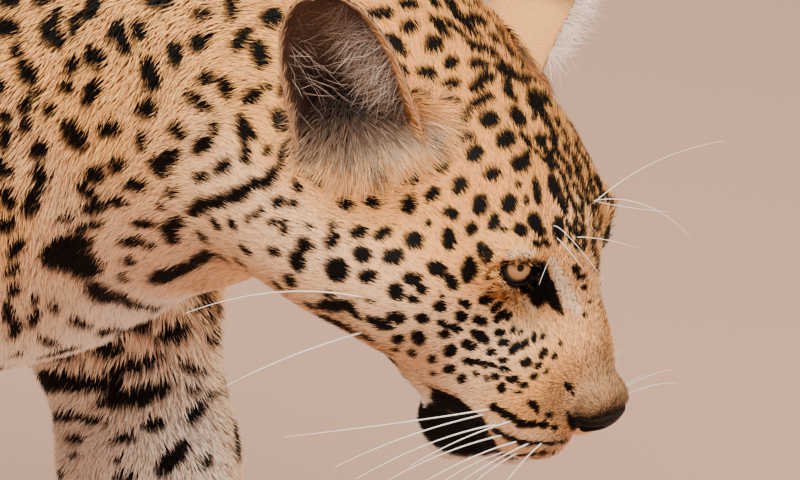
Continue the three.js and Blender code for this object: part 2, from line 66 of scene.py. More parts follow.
# Driving dimensions
NOSE = np.array([0.700, 0.0, 0.405])  # front of the nose, in the forms' own frame
HEAD_PITCH = math.radians(32)
HEAD_MELT = 0.046
EYE_RADIUS = 0.0155
EYE = np.array([-0.083, 0.035, 0.050])  # in the head's frame; y is mirrored
FORELEG_Y = 0.082
HINDLEG_Y = 0.080
HIP_X = -0.385
SHOULDER_X = 0.335
BODY_COAT = 0.009  # depth from the tips of the coat to the skin
LEG_COAT = 0.0055
PAW_COAT = 0.0035
HEAD_COAT = 0.0052
MUZZLE_COAT = 0.0026
SKIN_CELL = 0.0062  # of the skin's grid, halved on the head, on the face and round the eyes
NOSE_CELL = 0.0009

# The photo's camera: its direction, its scale and what its middle looks at
CAMERA_AZIMUTH = math.radians(33)
CAMERA_ELEVATION = math.radians(22)
CAMERA_DISTANCE = 5.0
FRAME_WIDTH = 0.400
PHOTO_SIZE = (800, 480)
NOSE_PIXEL = (618, 416)
PIXEL = FRAME_WIDTH / PHOTO_SIZE[0]

HEAD_TURN = np.array(
    [
        [math.cos(HEAD_PITCH), 0, math.sin(HEAD_PITCH)],
        [0, 1, 0],
        [-math.sin(HEAD_PITCH), 0, math.cos(HEAD_PITCH)],
    ]
)
eye_low, eye_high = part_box("eye_right")
SHIFT = (np.array(eye_low) + np.array(eye_high)) / 2 - (NOSE + HEAD_TURN @ (EYE * (1, -1, 1)))


def to_head(p):
    """Points of the forms' frame in the head's frame: x along the muzzle, z out of the forehead."""
    return (p - NOSE) @ HEAD_TURN


def from_head(h):
    return h @ HEAD_TURN.T + NOSE


def unit(v):
    return v / np.maximum(np.linalg.norm(v, axis=-1, keepdims=True), 1e-9)


def ramp(x, start, end):
    """0 before start, 1 after end, and smooth between them."""
    t = np.clip((x - start) / (end - start), 0, 1)
    return t * t * (3 - 2 * t)


def mix(a, b, t):
    return a + (b - a) * t


# Camera
back = np.array(
    [
        math.sin(CAMERA_AZIMUTH) * math.cos(CAMERA_ELEVATION),
        -math.cos(CAMERA_AZIMUTH) * math.cos(CAMERA_ELEVATION),
        math.sin(CAMERA_ELEVATION),
    ]
)
right = unit(np.cross([0, 0, 1], back))
up = np.cross(back, right)
aim = NOSE + right * (PHOTO_SIZE[0] / 2 - NOSE_PIXEL[0]) * PIXEL
aim = aim - up * (PHOTO_SIZE[1] / 2 - NOSE_PIXEL[1]) * PIXEL
eye_point = aim + back * CAMERA_DISTANCE


def make_camera():
    data = bpy.data.cameras.new("camera")
    data.lens = 36 * CAMERA_DISTANCE / FRAME_WIDTH
    data.clip_end = 100
    camera = bpy.data.objects.new("camera", data)
    bpy.context.scene.collection.objects.link(camera)
    place = np.eye(4)
    place[:3, 0], place[:3, 1], place[:3, 2] = right, up, back
    place[:3, 3] = eye_point + SHIFT
    camera.matrix_world = Matrix(place.tolist())
    bpy.context.scene.camera = camera


make_camera()

# Rounded forms, each a signed distance that is negative inside. They repeat the frame's own forms.
FAR = 1.0
BATCH = 12000  # points measured at a time


def melt(a, b, width):
    h = np.maximum(width - np.abs(a - b), 0) / width
    return np.minimum(a, b) - h * h * width * 0.25


def carve(a, b, width):
    """Takes the form b out of the form a, with a rounded edge."""
    return -melt(-a, b, width)


def limb(a, b, ra, rb, melting=0.030, flat=1.0):
    a, b = np.array(a, float), np.array(b, float)
    along = b - a
    middle = (a[1] + b[1]) / 2

    def distance(p):
        q = p - a
        q[:, 1] = middle + (p[:, 1] - middle) / flat - a[1]
        t = np.clip(q @ along / (along @ along), 0, 1)
        away = np.linalg.norm(q - t[:, None] * along, axis=1)
        return (away - ra - t * (rb - ra)) * min(1, flat)

    grown = max(ra, rb) + max(melting, HEAD_MELT) + 0.002
    return np.minimum(a, b) - grown, np.maximum(a, b) + grown, melting, distance


def egg(centre, radii, melting=0.030, pitch=0, yaw=0):
    centre, radii = np.array(centre, float), np.array(radii, float)
    cp, sp = math.cos(math.radians(pitch)), math.sin(math.radians(pitch))
    cy, sy = math.cos(math.radians(yaw)), math.sin(math.radians(yaw))
    turn = np.array([[cy, -sy, 0], [sy, cy, 0], [0, 0, 1]]) @ [[cp, 0, sp], [0, 1, 0], [-sp, 0, cp]]

    def distance(p):
        q = (p - centre) @ turn / radii
        k0 = np.linalg.norm(q, axis=1)
        k1 = np.maximum(np.linalg.norm(q / radii, axis=1), 1e-6)
        return np.maximum(k0 * (k0 - 1) / k1, -radii.min())

    grown = max(radii) + max(melting, HEAD_MELT) + 0.002
    return centre - grown, centre + grown, melting, distance


def chain(points, melting=0.030):
    return [limb(a[:3], b[:3], a[3], b[3], melting) for a, b in zip(points, points[1:])]


def both_sides(make):
    return [*make(-1), *make(1)]


def measure(forms, points):
    """The distance to all forms melted together, right wherever it is small."""
    out = np.full(len(points), FAR)
    for start in range(0, len(points), BATCH):
        p = points[start : start + BATCH]
        d = out[start : start + BATCH]
        least, most = p.min(axis=0), p.max(axis=0)
        for low, high, melting, distance in forms:
            if (least > high).any() or (most < low).any():
                continue
            near = np.flatnonzero(((p > low) & (p < high)).all(axis=1))
            if len(near):
                d[near] = melt(d[near], distance(p[near]), melting)
    return out


def cheek_forms(s):
    return [
        egg([-0.034, s * 0.020, -0.0225], [0.026, 0.020, 0.020], 0.012, 12, s * -14),
        egg([-0.054, s * 0.025, -0.020], [0.034, 0.020, 0.026], 0.014, 8, s * -10),
        limb([-0.052, s * 0.020, -0.006], [-0.104, s * 0.043, 0.004], 0.024, 0.028, 0.020),
        egg([-0.089, s * 0.027, 0.062], [0.017, 0.015, 0.010], 0.014, 24, s * 24),
        egg([-0.112, s * 0.048, 0.018], [0.038, 0.020, 0.022], 0.022, -6, s * -34),
        egg([-0.138, s * 0.050, -0.002], [0.050, 0.030, 0.032], 0.024, 0, s * -10),
        egg([-0.176, s * 0.050, -0.001], [0.046, 0.030, 0.037], 0.026),
        limb([-0.044, s * 0.009, -0.0485], [-0.088, s * 0.028, -0.032], 0.018, 0.0145, 0.016),
        limb([-0.086, s * 0.027, -0.028], [-0.146, s * 0.038, -0.020], 0.0135, 0.019, 0.020),
        egg([-0.062, s * 0.027, -0.056], [0.019, 0.013, 0.018], 0.012, 2),
        egg([-0.168, s * 0.050, 0.052], [0.034, 0.022, 0.026], 0.024),
    ]


HEAD_FORMS = [
    egg([-0.150, 0, 0.030], [0.088, 0.070, 0.070], 0.020, 8),
    egg([-0.112, 0, 0.051], [0.058, 0.049, 0.037], 0.026, 28),
    egg([-0.198, 0, 0.036], [0.064, 0.072, 0.066], 0.034),
    *chain([(-0.021, 0, -0.001, 0.017), (-0.046, 0, 0.0145, 0.0200), (-0.082, 0, 0.045, 0.028)], 0.012),
    egg([-0.012, 0, -0.003], [0.013, 0.019, 0.015], 0.008, 20),
    *both_sides(cheek_forms),
    egg([-0.045, 0, -0.047], [0.020, 0.018, 0.017], 0.012),
]

SPINE = [(0.260, 0, 0.570, 0.066), (0.060, 0, 0.560, 0.070), (-0.180, 0, 0.568, 0.072)]
TORSO_FORMS = [
    egg([0.200, 0, 0.492], [0.235, 0.103, 0.150], 0.040, 2),
    egg([0.020, 0, 0.505], [0.260, 0.104, 0.128], 0.050),
    egg([-0.060, 0, 0.462], [0.230, 0.092, 0.104], 0.050, 3),
    *chain([*SPINE, (-0.380, 0, 0.560, 0.074)], 0.060),
    egg([HIP_X - 0.005, 0, 0.530], [0.112, 0.088, 0.104], 0.060, 12),
    *both_sides(lambda s: [limb([0.262, s * 0.046, 0.612], [0.325, s * 0.074, 0.500], 0.038, 0.064, 0.050)]),
    egg([0.352, 0, 0.452], [0.070, 0.074, 0.070], 0.050, 18),
    limb([0.330, 0, 0.504], [0.420, 0, 0.526], 0.124, 0.104, 0.050, 0.88),
    limb([0.415, 0, 0.528], [0.522, 0, 0.536], 0.104, 0.078, 0.040, 0.98),
]

TAIL = [
    (-0.430, 0, 0.565, 0.044),
    (-0.490, 0, 0.540, 0.035),
    (-0.545, 0, 0.488, 0.030),
    (-0.590, 0.004, 0.420, 0.028),
    (-0.635, 0.012, 0.350, 0.027),
    (-0.690, 0.024, 0.285, 0.026),
    (-0.760, 0.038, 0.238, 0.025),
    (-0.840, 0.050, 0.214, 0.025),
    (-0.920, 0.058, 0.220, 0.024),
    (-0.990, 0.060, 0.252, 0.023),
    (-1.042, 0.058, 0.302, 0.021),
    (-1.064, 0.056, 0.346, 0.017),
]


def paw(x, y, spread, length):
    toes = [
        egg([x + length * (0.34 - 0.05 * i * i), y + i * spread, 0.019], [0.024, spread * 0.6, 0.020], 0.007)
        for i in (-1.5, -0.5, 0.5, 1.5)
    ]
    return [
        egg([x - 0.008, y, 0.020], [length * 0.46, spread * 2.2, 0.025], 0.014),
        egg([x - 0.002, y, 0.032], [length * 0.4, spread * 1.6, 0.020], 0.016, 14),
        *toes,
    ]


def foreleg(side, elbow_x, wrist_x, paw_x):
    y = side * FORELEG_Y
    shoulder = [SHOULDER_X, side * 0.072, 0.455]
    shoulder_back = [SHOULDER_X - 0.060, side * 0.072, 0.480]
    elbow_back = [elbow_x - 0.030, side * 0.080, 0.374]
    bones = [
        (elbow_x + 0.002, y, 0.362, 0.052),
        (mix(elbow_x, wrist_x, 0.35), y, 0.270, 0.045),
        (mix(elbow_x, wrist_x, 0.72), y, 0.175, 0.034),
        (wrist_x, y, 0.098, 0.031),
        (mix(wrist_x, paw_x, 0.4), y, 0.058, 0.031),
    ]
    return [
        limb(shoulder, [elbow_x + 0.004, side * 0.080, 0.372], 0.076, 0.057, 0.040, 0.8),
        limb(shoulder_back, elbow_back, 0.060, 0.046, 0.040, 0.8),
        *chain(bones, 0.022),
        egg([elbow_x - 0.038, y, 0.368], [0.022, 0.020, 0.032], 0.020),
        *paw(paw_x, y, 0.022, 0.108),
    ]


def hindleg(side, knee_x, hock_x, paw_x):
    y = side * HINDLEG_Y
    thigh = [HIP_X + 0.008, side * 0.054, 0.522]
    hamstring = [HIP_X - 0.058, side * 0.050, 0.500]
    flank = [HIP_X + 0.110, side * 0.062, 0.470]
    shin = [
        (knee_x - 0.006, side * 0.078, 0.352, 0.054),
        (mix(knee_x, hock_x, 0.4), y, 0.286, 0.048),
        (mix(knee_x, hock_x, 0.75), y, 0.226, 0.034),
        (hock_x + 0.008, y, 0.190, 0.027),
    ]
    foot = [
        (hock_x + 0.002, y, 0.178, 0.026),
        (mix(hock_x, paw_x, 0.5), y, 0.106, 0.025),
        (paw_x - 0.020, y, 0.046, 0.027),
    ]
    return [
        limb(thigh, [knee_x - 0.014, side * 0.074, 0.385], 0.098, 0.066, 0.050, 0.74),
        limb(hamstring, [knee_x - 0.084, side * 0.074, 0.338], 0.062, 0.042, 0.040, 0.74),
        limb(flank, [knee_x + 0.002, side * 0.076, 0.362], 0.046, 0.050, 0.040, 0.7),
        *chain(shin, 0.028),
        egg([hock_x - 0.008, y, 0.180], [0.020, 0.017, 0.026], 0.014, 30),
        *chain(foot, 0.016),
        *paw(paw_x, y, 0.020, 0.102),
    ]


BODY_FORMS = [
    *TORSO_FORMS,
    *chain(TAIL, 0.022),
    *foreleg(1, 0.340, 0.394, 0.424),
    *foreleg(-1, 0.250, 0.190, 0.208),
    *hindleg(1, -0.326, -0.490, -0.462),
    *hindleg(-1, -0.272, -0.400, -0.358),
]
HEAD_STARTS_X = 0.36


def body_field(p):
    """The animal out to the tips of its coat."""
    d = measure(BODY_FORMS, p)
    ahead = np.flatnonzero(p[:, 0] > HEAD_STARTS_X)
    if len(ahead):
        d[ahead] = melt(d[ahead], measure(HEAD_FORMS, to_head(p[ahead])), HEAD_MELT)
    return d


def headness(h):
    """1 on the head, 0 on the neck, chest and legs."""
    return ramp(h[:, 2], -0.130, -0.095) * ramp(h[:, 0], -0.290, -0.190)


def legness(p):
    return ramp(p[:, 2], 0.370, 0.270) * ramp(p[:, 0], -0.600, -0.560)


def coat_depth(p):
    h = to_head(p)
    depth = mix(BODY_COAT, LEG_COAT, legness(p))
    depth = mix(depth, PAW_COAT, ramp(p[:, 2], 0.090, 0.045) * legness(p))
    depth = mix(depth, HEAD_COAT, headness(h))
    return mix(depth, MUZZLE_COAT, headness(h) * ramp(h[:, 0], -0.130, -0.050))


def plain_skin(p):
    d = body_field(p)
    near = np.flatnonzero(np.abs(d) < 0.05)
    d[near] += coat_depth(p[near])
    return d


# Places in the photo, cast onto the skin
def ray_towards(pixels):
    pixels = np.array(pixels, float)
    across = (pixels[:, :1] - PHOTO_SIZE[0] / 2) * PIXEL
    down = (pixels[:, 1:2] - PHOTO_SIZE[1] / 2) * PIXEL
    return unit(aim + across * right - down * up - eye_point)


def on_skin(pixels, field=plain_skin, steps=60):
    """Where the photo's pixels meet the skin, in the forms' frame."""
    way = ray_towards(pixels)
    travelled = np.full(len(way), CAMERA_DISTANCE - 0.35)
    for _ in range(steps):
        d = field(eye_point + way * travelled[:, None])
        travelled += np.clip(d, -0.004, 0.02) * 0.9
    return eye_point + way * travelled[:, None]


def folded(h):
    """Both halves of the head laid on the left one."""
    return h * (1, 0, 1) + np.abs(h) * (0, 1, 0)


# Eyes: where they look, and the almond between the lids
IRIS_PIXEL = (520.8, 268)
OUTER_CORNER_PIXEL = (503, 264)
INNER_CORNER_PIXEL = (536, 267)
OPENING_HALF_WIDTH = 0.0102
OPENING_ABOVE = 0.0026  # from the line between the corners up to the upper lid
OPENING_BELOW = 0.0100
LID = 0.0016
LID_OVER = 0.0009  # how far the skin reaches in over the rim of the lids
EYE_DENT = 0.0014

near_eye = from_head(EYE * (1, -1, 1))


def towards_pixel(pixel):
    """The direction from the near eye's centre to where a pixel meets the eyeball, in the head's frame."""
    way = ray_towards([pixel])[0]
    from_eye = eye_point - near_eye
    half = way @ from_eye
    root = math.sqrt(max(half * half - from_eye @ from_eye + EYE_RADIUS**2, 0))
    hit = eye_point + way * (-half - root)
    return unit((hit - near_eye) @ HEAD_TURN) * (1, -1, 1)


gaze = towards_pixel(IRIS_PIXEL)
opening = unit(towards_pixel(OUTER_CORNER_PIXEL) + towards_pixel(INNER_CORNER_PIXEL))
eye_line = towards_pixel(INNER_CORNER_PIXEL) - towards_pixel(OUTER_CORNER_PIXEL)
eye_line = unit(eye_line - opening * (eye_line @ opening))
eye_height = np.cross(eye_line, opening)
eye_height = eye_height * np.sign(eye_height[2])


def lid_arc(height):
    """The radius of a lid's edge that rises this far over the line between the corners."""
    return (OPENING_HALF_WIDTH**2 + height**2) / (2 * height)


UPPER_ARC = lid_arc(OPENING_ABOVE)
LOWER_ARC = lid_arc(OPENING_BELOW)


def almond(h):
    """Distance to the opening between the lids, measured in its own plane."""
    q = folded(h) - EYE
    a, b = q @ eye_line, q @ eye_height
    below_upper = np.hypot(a, b - OPENING_ABOVE + UPPER_ARC) - UPPER_ARC
    above_lower = np.hypot(a, b + OPENING_BELOW - LOWER_ARC) - LOWER_ARC
    return np.maximum(below_upper, above_lower)


def past_lid(h):
    """How far a point lies from the opening's edge along the skin, or 1 away from the eyes."""
    q = folded(h) - EYE
    facing = (q @ opening) / np.maximum(np.linalg.norm(q, axis=1), 1e-6)
    near = (facing > 0.3) & (np.linalg.norm(q, axis=1) < 0.030)
    return np.where(near, almond(h) / np.maximum(facing, 0.3), 1.0)


def lid_black(h):
    """How black the lids are: a ring round the opening, narrow at the outer corner and above it."""
    q = folded(h) - EYE
    inward, below = ramp(q @ eye_line, -0.008, 0.003), ramp(q @ eye_height, 0.000, -0.003)
    wide = 0.0007 + 0.0024 * inward * below
    return ramp(past_lid(h) - wide, 0.0004, -0.0003)


def with_eyes(d, h):
    q = folded(h) - EYE
    away = np.linalg.norm(q, axis=1)
    front = q @ opening > 0
    d = melt(d, away - EYE_RADIUS - LID, 0.005)
    dent = np.maximum(almond(h) + LID_OVER, EYE_RADIUS - EYE_DENT - away)
    return np.where(front, carve(d, dent, 0.0012), d)


# Mouth: the line between the lips, from under the nose to its corner
MOUTH_PIXELS = [
    (577, 437),
    (564, 452),
    (540, 460),
    (511, 457),
    (493, 438),
    (483, 419),
    (461, 400),
    (432, 388),
]
MOUTH_HALF_WIDTH = 0.0024


def mouth_line():
    points = folded(to_head(on_skin(MOUTH_PIXELS)))
    points[0, 1] = 0.004
    return [tuple(p) + (MOUTH_HALF_WIDTH,) for p in points]


LIP_LINE = chain(mouth_line(), 0.002)
NOSTRIL_LINE = [
    (-0.001, 0.0085, -0.0085, 0.0036),
    (-0.011, 0.0165, -0.0095, 0.0026),
    (-0.017, 0.0190, -0.0055, 0.0018),
]
NOSTRIL = chain(NOSTRIL_LINE, 0.002)
PHILTRUM = chain([(0.010, 0, -0.014, 0.0016), (-0.006, 0, -0.034, 0.0020)], 0.002)
NOSE_EGG = egg([-0.002, 0, -0.004], [0.016, 0.0215, 0.0135], 0.004)


def nose_pad(h):
    """Distance to the block that holds the nose's bare pad. Its upper edge drops away to the sides."""
    y = np.abs(h[:, 1])
    top = 0.0018 - 8 * y**2 - 5.5e4 * y**4
    return np.maximum(NOSE_EGG[3](h), (h[:, 2] - top) * 0.7)


def skin_field(p):
    d = plain_skin(p)
    h = to_head(p)
    near = np.flatnonzero((h[:, 0] > -0.13) & (np.abs(h[:, 1]) < 0.08) & (h[:, 2] > -0.09) & (d < 0.03))
    if len(near):
        g = h[near]
        e = with_eyes(d[near], g)
        e = carve(e, measure(LIP_LINE, folded(g)), 0.003)
        e = carve(e, measure(PHILTRUM, g), 0.003)
        d[near] = e
    return d


# Meshes from fields
def in_order(points, quads):
    """The same mesh with its points and faces in an order that doesn't change from run to run."""
    order = np.lexsort(points.T)
    rank = np.empty(len(order), int)
    rank[order] = np.arange(len(order))
    quads = rank[quads]
    turn = (np.argmin(quads, axis=1)[:, None] + np.arange(4)) % 4
    quads = np.take_along_axis(quads, turn, axis=1)
    return points[order], quads[np.lexsort(quads.T)]


def grid_mesh(field, low, high, cell):
    """The closed surface of a field in a box, as points and quads facing out."""
    axes = [np.arange(l, h + cell, cell) for l, h in zip(low, high)]
    p = np.stack(np.meshgrid(*axes, indexing="ij"), axis=-1).reshape(-1, 3)
    values = field(p).reshape([len(a) for a in axes]).astype(np.float32)
    grid = openvdb.FloatGrid(1.0)
    grid.copyFromArray(np.clip(values / cell, -3, 3))
    points, quads = grid.convertToQuads(0.0)
    points, quads = in_order(np.array(points, float), np.array(quads))
    points = points * cell + np.array(low)
    a, b, c = (points[quads[:, i]] for i in (0, 1, 2))
    outward = np.einsum("ij,ij->i", np.cross(b - a, c - a), a - np.mean(points, axis=0)).sum() > 0
    return points, quads if outward else quads[:, ::-1]


def settle(field, p, rounds=3, step=0.0004, most=0.003):
    """Moves points onto a field's surface."""
    p = p.copy()
    for _ in range(rounds):
        d = field(p)
        slope = np.stack([field(p + e) - field(p - e) for e in np.eye(3) * step], axis=1) / (2 * step)
        move = d[:, None] * slope / np.maximum((slope * slope).sum(axis=1), 0.25)[:, None]
        p -= np.clip(move, -most, most)
    return p


def mesh_object(name, points, faces, materials=(), smooth=True):
    """An object at the origin whose mesh holds the points, moved from the forms' frame to the row's."""
    mesh = bpy.data.meshes.new(name)
    mesh.from_pydata((points + SHIFT).tolist(), [], [list(map(int, f)) for f in faces])
    mesh.update()
    if smooth:
        mesh.shade_smooth()
    obj = bpy.data.objects.new(name, mesh)
    bpy.context.scene.collection.objects.link(obj)
    for material in materials:
        mesh.materials.append(material)
    return obj


def fine_zones():
    """Where the skin's grid is halved, coarsest first: the head, the face, the eyes' surroundings."""

    def on_head(p):
        h = to_head(p)
        return (h[:, 0] > -0.255) & (h[:, 2] > -0.125)

    def on_face(p):
        h = to_head(p)
        return (h[:, 0] > -0.122) & (h[:, 2] > -0.100)

    def by_eye(p):
        return np.linalg.norm(folded(to_head(p)) - EYE - opening * 0.010, axis=1) < 0.0215

    return on_head, on_face, by_eye


def make_skin():
    low = np.array(cad_low) - SHIFT - 0.01
    high = np.array(cad_high) - SHIFT + 0.01
    low[2] = -0.012
    points, quads = grid_mesh(plain_skin, low, high, SKIN_CELL)
    bm = bmesh.new()
    mesh = bpy.data.meshes.new("skin_grid")
    mesh.from_pydata(points.tolist(), [], quads.tolist())
    bm.from_mesh(mesh)
    bpy.data.meshes.remove(mesh)
    for inside in fine_zones():
        bm.verts.index_update()
        held = inside(np.array([v.co[:] for v in bm.verts]))
        edges = [e for e in bm.edges if held[e.verts[0].index] and held[e.verts[1].index]]
        bmesh.ops.subdivide_edges(bm, edges=edges, cuts=1, use_grid_fill=True)
    bm.verts.index_update()
    points = np.array([v.co[:] for v in bm.verts])
    order = np.argsort(points[:, 0])
    points[order] = settle(skin_field, points[order])
    points[:, 2] = np.maximum(points[:, 2], 0.0006)
    faces = [[v.index for v in f.verts] for f in bm.faces]
    bm.free()
    return points, faces


skin_points, skin_faces = make_skin()


# Markings that the photo shows: x and y of the middle, half length, half width and tilt in degrees,
# which turns clockwise in the picture. They are cast onto the skin.
NECK_MARKS = [
    (12, 4, 10, 8, 0), (46, 3, 9, 7, 0), (13, 32, 13, 9, -8), (63, 20, 6, 7, 0), (57, 38, 13, 9, 50),
    (79, 30, 10, 5, -80), (95, 12, 13, 6, -65), (117, 34, 10, 8, -70), (124, 48, 8, 6, 75),
    (141, 34, 9, 9, 0), (156, 6, 8, 8, 0), (98, 60, 11, 8, 60), (25, 55, 7, 5, 80), (1, 61, 5, 5, 0),
    (34, 75, 10, 8, 70), (75, 67, 8, 7, -60), (71, 88, 7, 6, 0), (41, 93, 6, 5, 0), (3, 87, 8, 7, 0),
    (30, 106, 8, 6, -20), (56, 110, 6, 6, 0), (9, 114, 7, 6, 0), (96, 93, 13, 7, -58),
    (150, 75, 15, 8, 82), (149, 108, 9, 9, 0), (163, 7, 12, 7, -10), (207, 1, 8, 4, 0),
    (235, 14, 11, 6, 88), (204, 20, 11, 5, 0), (276, 23, 11, 9, -30), (201, 46, 10, 7, -25),
    (176, 57, 12, 7, 85), (247, 45, 12, 7, -42), (264, 58, 10, 8, 60), (211, 79, 9, 6, -10),
    (231, 87, 9, 7, 50), (205, 103, 15, 6, 30), (257, 95, 9, 7, -30), (269, 87, 6, 4, -20),
    (287, 87, 11, 4, -75), (247, 117, 5, 4, 0), (282, 118, 8, 6, 60), (11, 131, 6, 6, 0),
    (12, 144, 6, 6, 0), (30, 124, 8, 6, -70), (44, 147, 9, 8, -70), (80, 134, 14, 9, 55),
    (112, 127, 11, 7, -20), (146, 139, 9, 6, 80), (11, 168, 9, 8, 50), (45, 173, 9, 7, 70),
    (101, 171, 10, 8, 0), (121, 161, 8, 7, 30), (139, 181, 10, 6, -10), (122, 197, 9, 5, 0),
    (10, 194, 10, 7, 80), (34, 198, 14, 7, -52), (90, 185, 11, 6, 35), (98, 201, 13, 6, -15),
    (6, 221, 8, 6, -30), (69, 212, 8, 4, -10), (92, 219, 13, 5, -15), (146, 217, 11, 4, 0),
    (182, 129, 9, 7, 50), (207, 143, 11, 8, -50), (247, 130, 16, 6, 88), (257, 135, 6, 4, 80),
    (248, 157, 8, 5, -85), (283, 121, 9, 7, 60), (286, 154, 13, 4, -75), (271, 149, 6, 4, -50),
    (163, 165, 11, 7, 40), (175, 156, 11, 7, -30), (226, 167, 10, 6, -38), (206, 176, 8, 5, -10),
    (175, 188, 6, 5, 0), (163, 200, 4, 4, 0), (262, 183, 9, 5, 15), (274, 174, 9, 6, -55),
    (203, 205, 11, 7, -8), (222, 200, 12, 6, -12), (241, 193, 12, 7, -18), (175, 219, 12, 6, -15),
    (281, 201, 6, 5, 0), (295, 202, 5, 4, 0), (299, 186, 7, 4, 70), (279, 220, 8, 3, 5),
    (262, 210, 5, 3, -60), (253, 216, 5, 3, -50), (14, 243, 13, 6, -50), (11, 264, 8, 5, -40),
    (12, 283, 8, 5, -45), (60, 250, 16, 13, 0), (82, 256, 16, 13, 10), (72, 236, 24, 7, -8),
    (100, 284, 15, 9, 20), (124, 291, 15, 7, 18), (142, 296, 10, 5, 10), (133, 234, 11, 4, -5),
    (149, 237, 6, 3, 0), (129, 252, 6, 5, 30), (125, 270, 6, 4, 60), (165, 269, 14, 8, -15),
    (186, 261, 14, 6, -18), (203, 251, 13, 7, -15), (173, 228, 9, 7, 30), (50, 298, 6, 4, 30),
    (5, 306, 9, 5, 80), (29, 310, 9, 5, -60), (31, 292, 6, 3, -60), (11, 321, 9, 5, -60),
    (76, 313, 11, 5, 15), (104, 320, 11, 8, -10), (136, 315, 11, 8, -20), (44, 332, 12, 6, 12),
    (64, 348, 12, 7, 20), (107, 346, 17, 8, 5), (171, 333, 17, 8, -18), (136, 364, 27, 7, -17),
    (187, 368, 15, 5, 15), (57, 379, 28, 11, 8), (207, 315, 10, 7, -70), (207, 339, 10, 6, -75),
    (196, 306, 10, 4, -20), (193, 287, 10, 5, -10), (153, 298, 7, 5, -30), (14, 342, 6, 4, -20),
    (5, 359, 6, 5, 0), (190, 389, 7, 5, -20), (207, 395, 6, 4, 30), (158, 318, 4, 3, 0),
    (135, 395, 35, 11, -15), (66, 415, 20, 6, 5), (95, 420, 15, 5, 5), (55, 426, 10, 9, 0),
    (78, 438, 10, 7, 10), (58, 447, 9, 7, 80), (152, 425, 12, 8, -8), (125, 439, 12, 6, -10),
    (194, 413, 15, 7, -50), (171, 459, 24, 11, -50), (202, 463, 10, 6, -60), (119, 461, 4, 4, 0),
    (78, 455, 6, 4, 0), (35, 467, 8, 5, 80), (66, 476, 9, 6, 0), (125, 478, 14, 5, 0),
]
CROWN_MARKS = [
    (379, 17, 14, 6, -5), (406, 9, 11, 5, 8), (407, 30, 9, 7, -10), (394, 47, 14, 6, 45),
    (430, 47, 10, 9, 0), (438, 30, 15, 5, 50), (448, 65, 7, 7, 0), (425, 75, 11, 6, 25),
    (450, 85, 9, 6, -15), (418, 95, 10, 4, 5), (450, 102, 12, 4, 3), (475, 67, 11, 5, 12),
    (474, 88, 7, 6, 0), (482, 81, 8, 6, 10), (475, 105, 8, 6, -30), (484, 100, 7, 6, 0),
    (464, 115, 6, 5, 0), (459, 124, 7, 3, -5), (487, 122, 10, 9, 0), (504, 141, 10, 9, -20),
    (514, 120, 12, 6, 58), (464, 139, 8, 5, 0), (473, 155, 8, 8, 0), (490, 175, 8, 6, 0),
    (518, 164, 10, 8, 0), (524, 155, 5, 4, -60), (460, 185, 9, 7, -60), (443, 166, 7, 5, -25),
    (415, 175, 7, 4, -20), (433, 192, 8, 7, -50), (410, 201, 10, 8, 80), (479, 205, 10, 8, 85),
    (507, 204, 9, 8, 80), (494, 219, 7, 5, 85), (516, 185, 4, 3, 0), (524, 201, 5, 3, 85),
    (534, 192, 14, 4, 80), (549, 187, 12, 4, 75), (559, 206, 11, 3, 60), (532, 219, 7, 6, 60),
    (546, 157, 9, 4, -55), (439, 166, 4, 3, 0), (472, 23, 12, 6, 25), (470, 35, 10, 3, 33),
    (470, 49, 11, 4, 40), (486, 54, 12, 4, 38), (505, 54, 11, 4, 52), (518, 58, 9, 4, 70),
    (502, 37, 9, 2, 35), (486, 12, 8, 3, 30), (498, 25, 6, 2, 45), (431, 6, 9, 4, 45),
    (446, 6, 9, 4, 50), (459, 6, 10, 2, 32), (452, 30, 14, 3, 42), (503, 73, 12, 5, 42),
    (503, 87, 10, 5, 85), (506, 98, 10, 4, 50), (531, 66, 7, 5, 55), (541, 65, 8, 3, 58),
    (522, 50, 8, 2, 48), (524, 81, 9, 5, 20), (541, 88, 10, 3, 55), (549, 81, 7, 3, 48),
    (527, 98, 8, 4, 58), (536, 107, 7, 4, 55), (542, 101, 12, 3, 62), (553, 110, 9, 3, 58),
    (563, 106, 10, 2, 62), (529, 120, 4, 3, 60), (541, 121, 9, 4, 62), (552, 124, 6, 4, 62),
    (564, 127, 6, 3, 55), (537, 140, 7, 5, -5), (549, 136, 8, 4, 70), (561, 139, 10, 2, 65),
    (574, 143, 8, 3, 62), (579, 139, 11, 2, 66),
]
